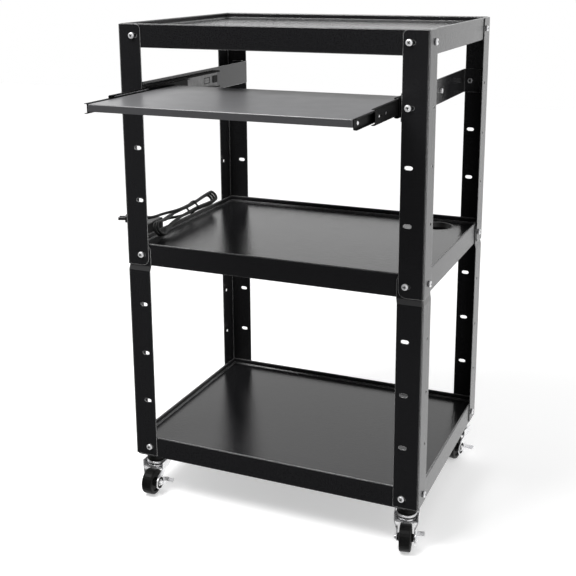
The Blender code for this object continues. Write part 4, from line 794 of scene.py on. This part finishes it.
SOFTBOX_PLACE = Vector((-0.8, -1.2, 2.7))
SOFTBOX_TARGET = Vector((0.0, 0.0, 0.5))
SOFTBOX_SIDE = 1.2
SOFTBOX_WATTS = 62.0
softbox = bpy.data.lights.new("front_top_softbox", "AREA")
softbox.shape = "RECTANGLE"
softbox.size = softbox.size_y = SOFTBOX_SIDE
softbox.energy = SOFTBOX_WATTS
lamp = linked("front_top_softbox", softbox)
lamp.location = SOFTBOX_PLACE
lamp.rotation_euler = (SOFTBOX_TARGET - SOFTBOX_PLACE).to_track_quat("-Z", "Y").to_euler()
lamp.visible_camera = False


# Stage: a black card ahead of the cart, which glossy rays alone see, and the floor

CARD_DISTANCE = 2.4
CARD_HALF_WIDTH = 2.6
CARD_LOW = -3.0
CARD_HIGH = 2.2
FLOOR_REACH = 6.0
FLOOR_DROP = 0.0002
FLOOR_GLOW = 0.42


def stage_sheet(name, corners, finish, colour, sockets):
    """A flat sheet that belongs to the stage, with a plain material of its own."""
    mesh = bpy.data.meshes.new(name)
    mesh.from_pydata(corners, [], [(0, 1, 2, 3)])
    sheet = linked(name, mesh)
    material = bpy.data.materials.new(finish)
    material.use_nodes = True
    shader = material.node_tree.nodes["Principled BSDF"]
    shader.inputs["Base Color"].default_value = (*colour, 1.0)
    for socket, value in sockets.items():
        shader.inputs[socket].default_value = value
    mesh.materials.append(material)
    return sheet


card = stage_sheet("black_card", [(-CARD_HALF_WIDTH, 0, CARD_LOW), (CARD_HALF_WIDTH, 0, CARD_LOW),
                                  (CARD_HALF_WIDTH, 0, CARD_HIGH),
                                  (-CARD_HALF_WIDTH, 0, CARD_HIGH)],
                   "black_felt", grey(0.01), {"Specular IOR Level": 0.0})
card.location = AHEAD * CARD_DISTANCE
card.rotation_euler = (0.0, 0.0, math.atan2(AHEAD.x, -AHEAD.y))
card.visible_camera = card.visible_diffuse = card.visible_shadow = False

floor = stage_sheet("floor", [(-FLOOR_REACH, -FLOOR_REACH, 0), (FLOOR_REACH, -FLOOR_REACH, 0),
                              (FLOOR_REACH, FLOOR_REACH, 0), (-FLOOR_REACH, FLOOR_REACH, 0)],
                    "paper_floor", grey(0.9),
                    {"Roughness": 0.9, "Emission Color": (1.0, 1.0, 1.0, 1.0),
                     "Emission Strength": FLOOR_GLOW})
floor.location.z = -FLOOR_DROP
floor.visible_diffuse = floor.visible_glossy = floor.visible_shadow = False


# Camera, solved from the photograph

CAMERA_PLACE = Vector((0.7545, -1.8617, 1.0814))
YAW_DEGREES = 23.3101
PITCH_DEGREES = 13.2856
ROLL_DEGREES = -0.3101
camera_data = bpy.data.cameras.new("camera")
camera_data.sensor_fit = "HORIZONTAL"
camera_data.sensor_width = 36.0
camera_data.lens = 62.40
camera_data.shift_x = -0.0054
camera_data.shift_y = -0.15
camera_data.clip_end = 100.0
camera = linked("camera", camera_data)
camera.matrix_world = (Matrix.Translation(CAMERA_PLACE + CART)
                       @ Matrix.Rotation(math.radians(YAW_DEGREES), 4, "Z")
                       @ Matrix.Rotation(math.radians(90.0 - PITCH_DEGREES), 4, "X")
                       @ Matrix.Rotation(math.radians(ROLL_DEGREES), 4, "Z"))
scene.camera = camera
scene.view_settings.view_transform = "Standard"
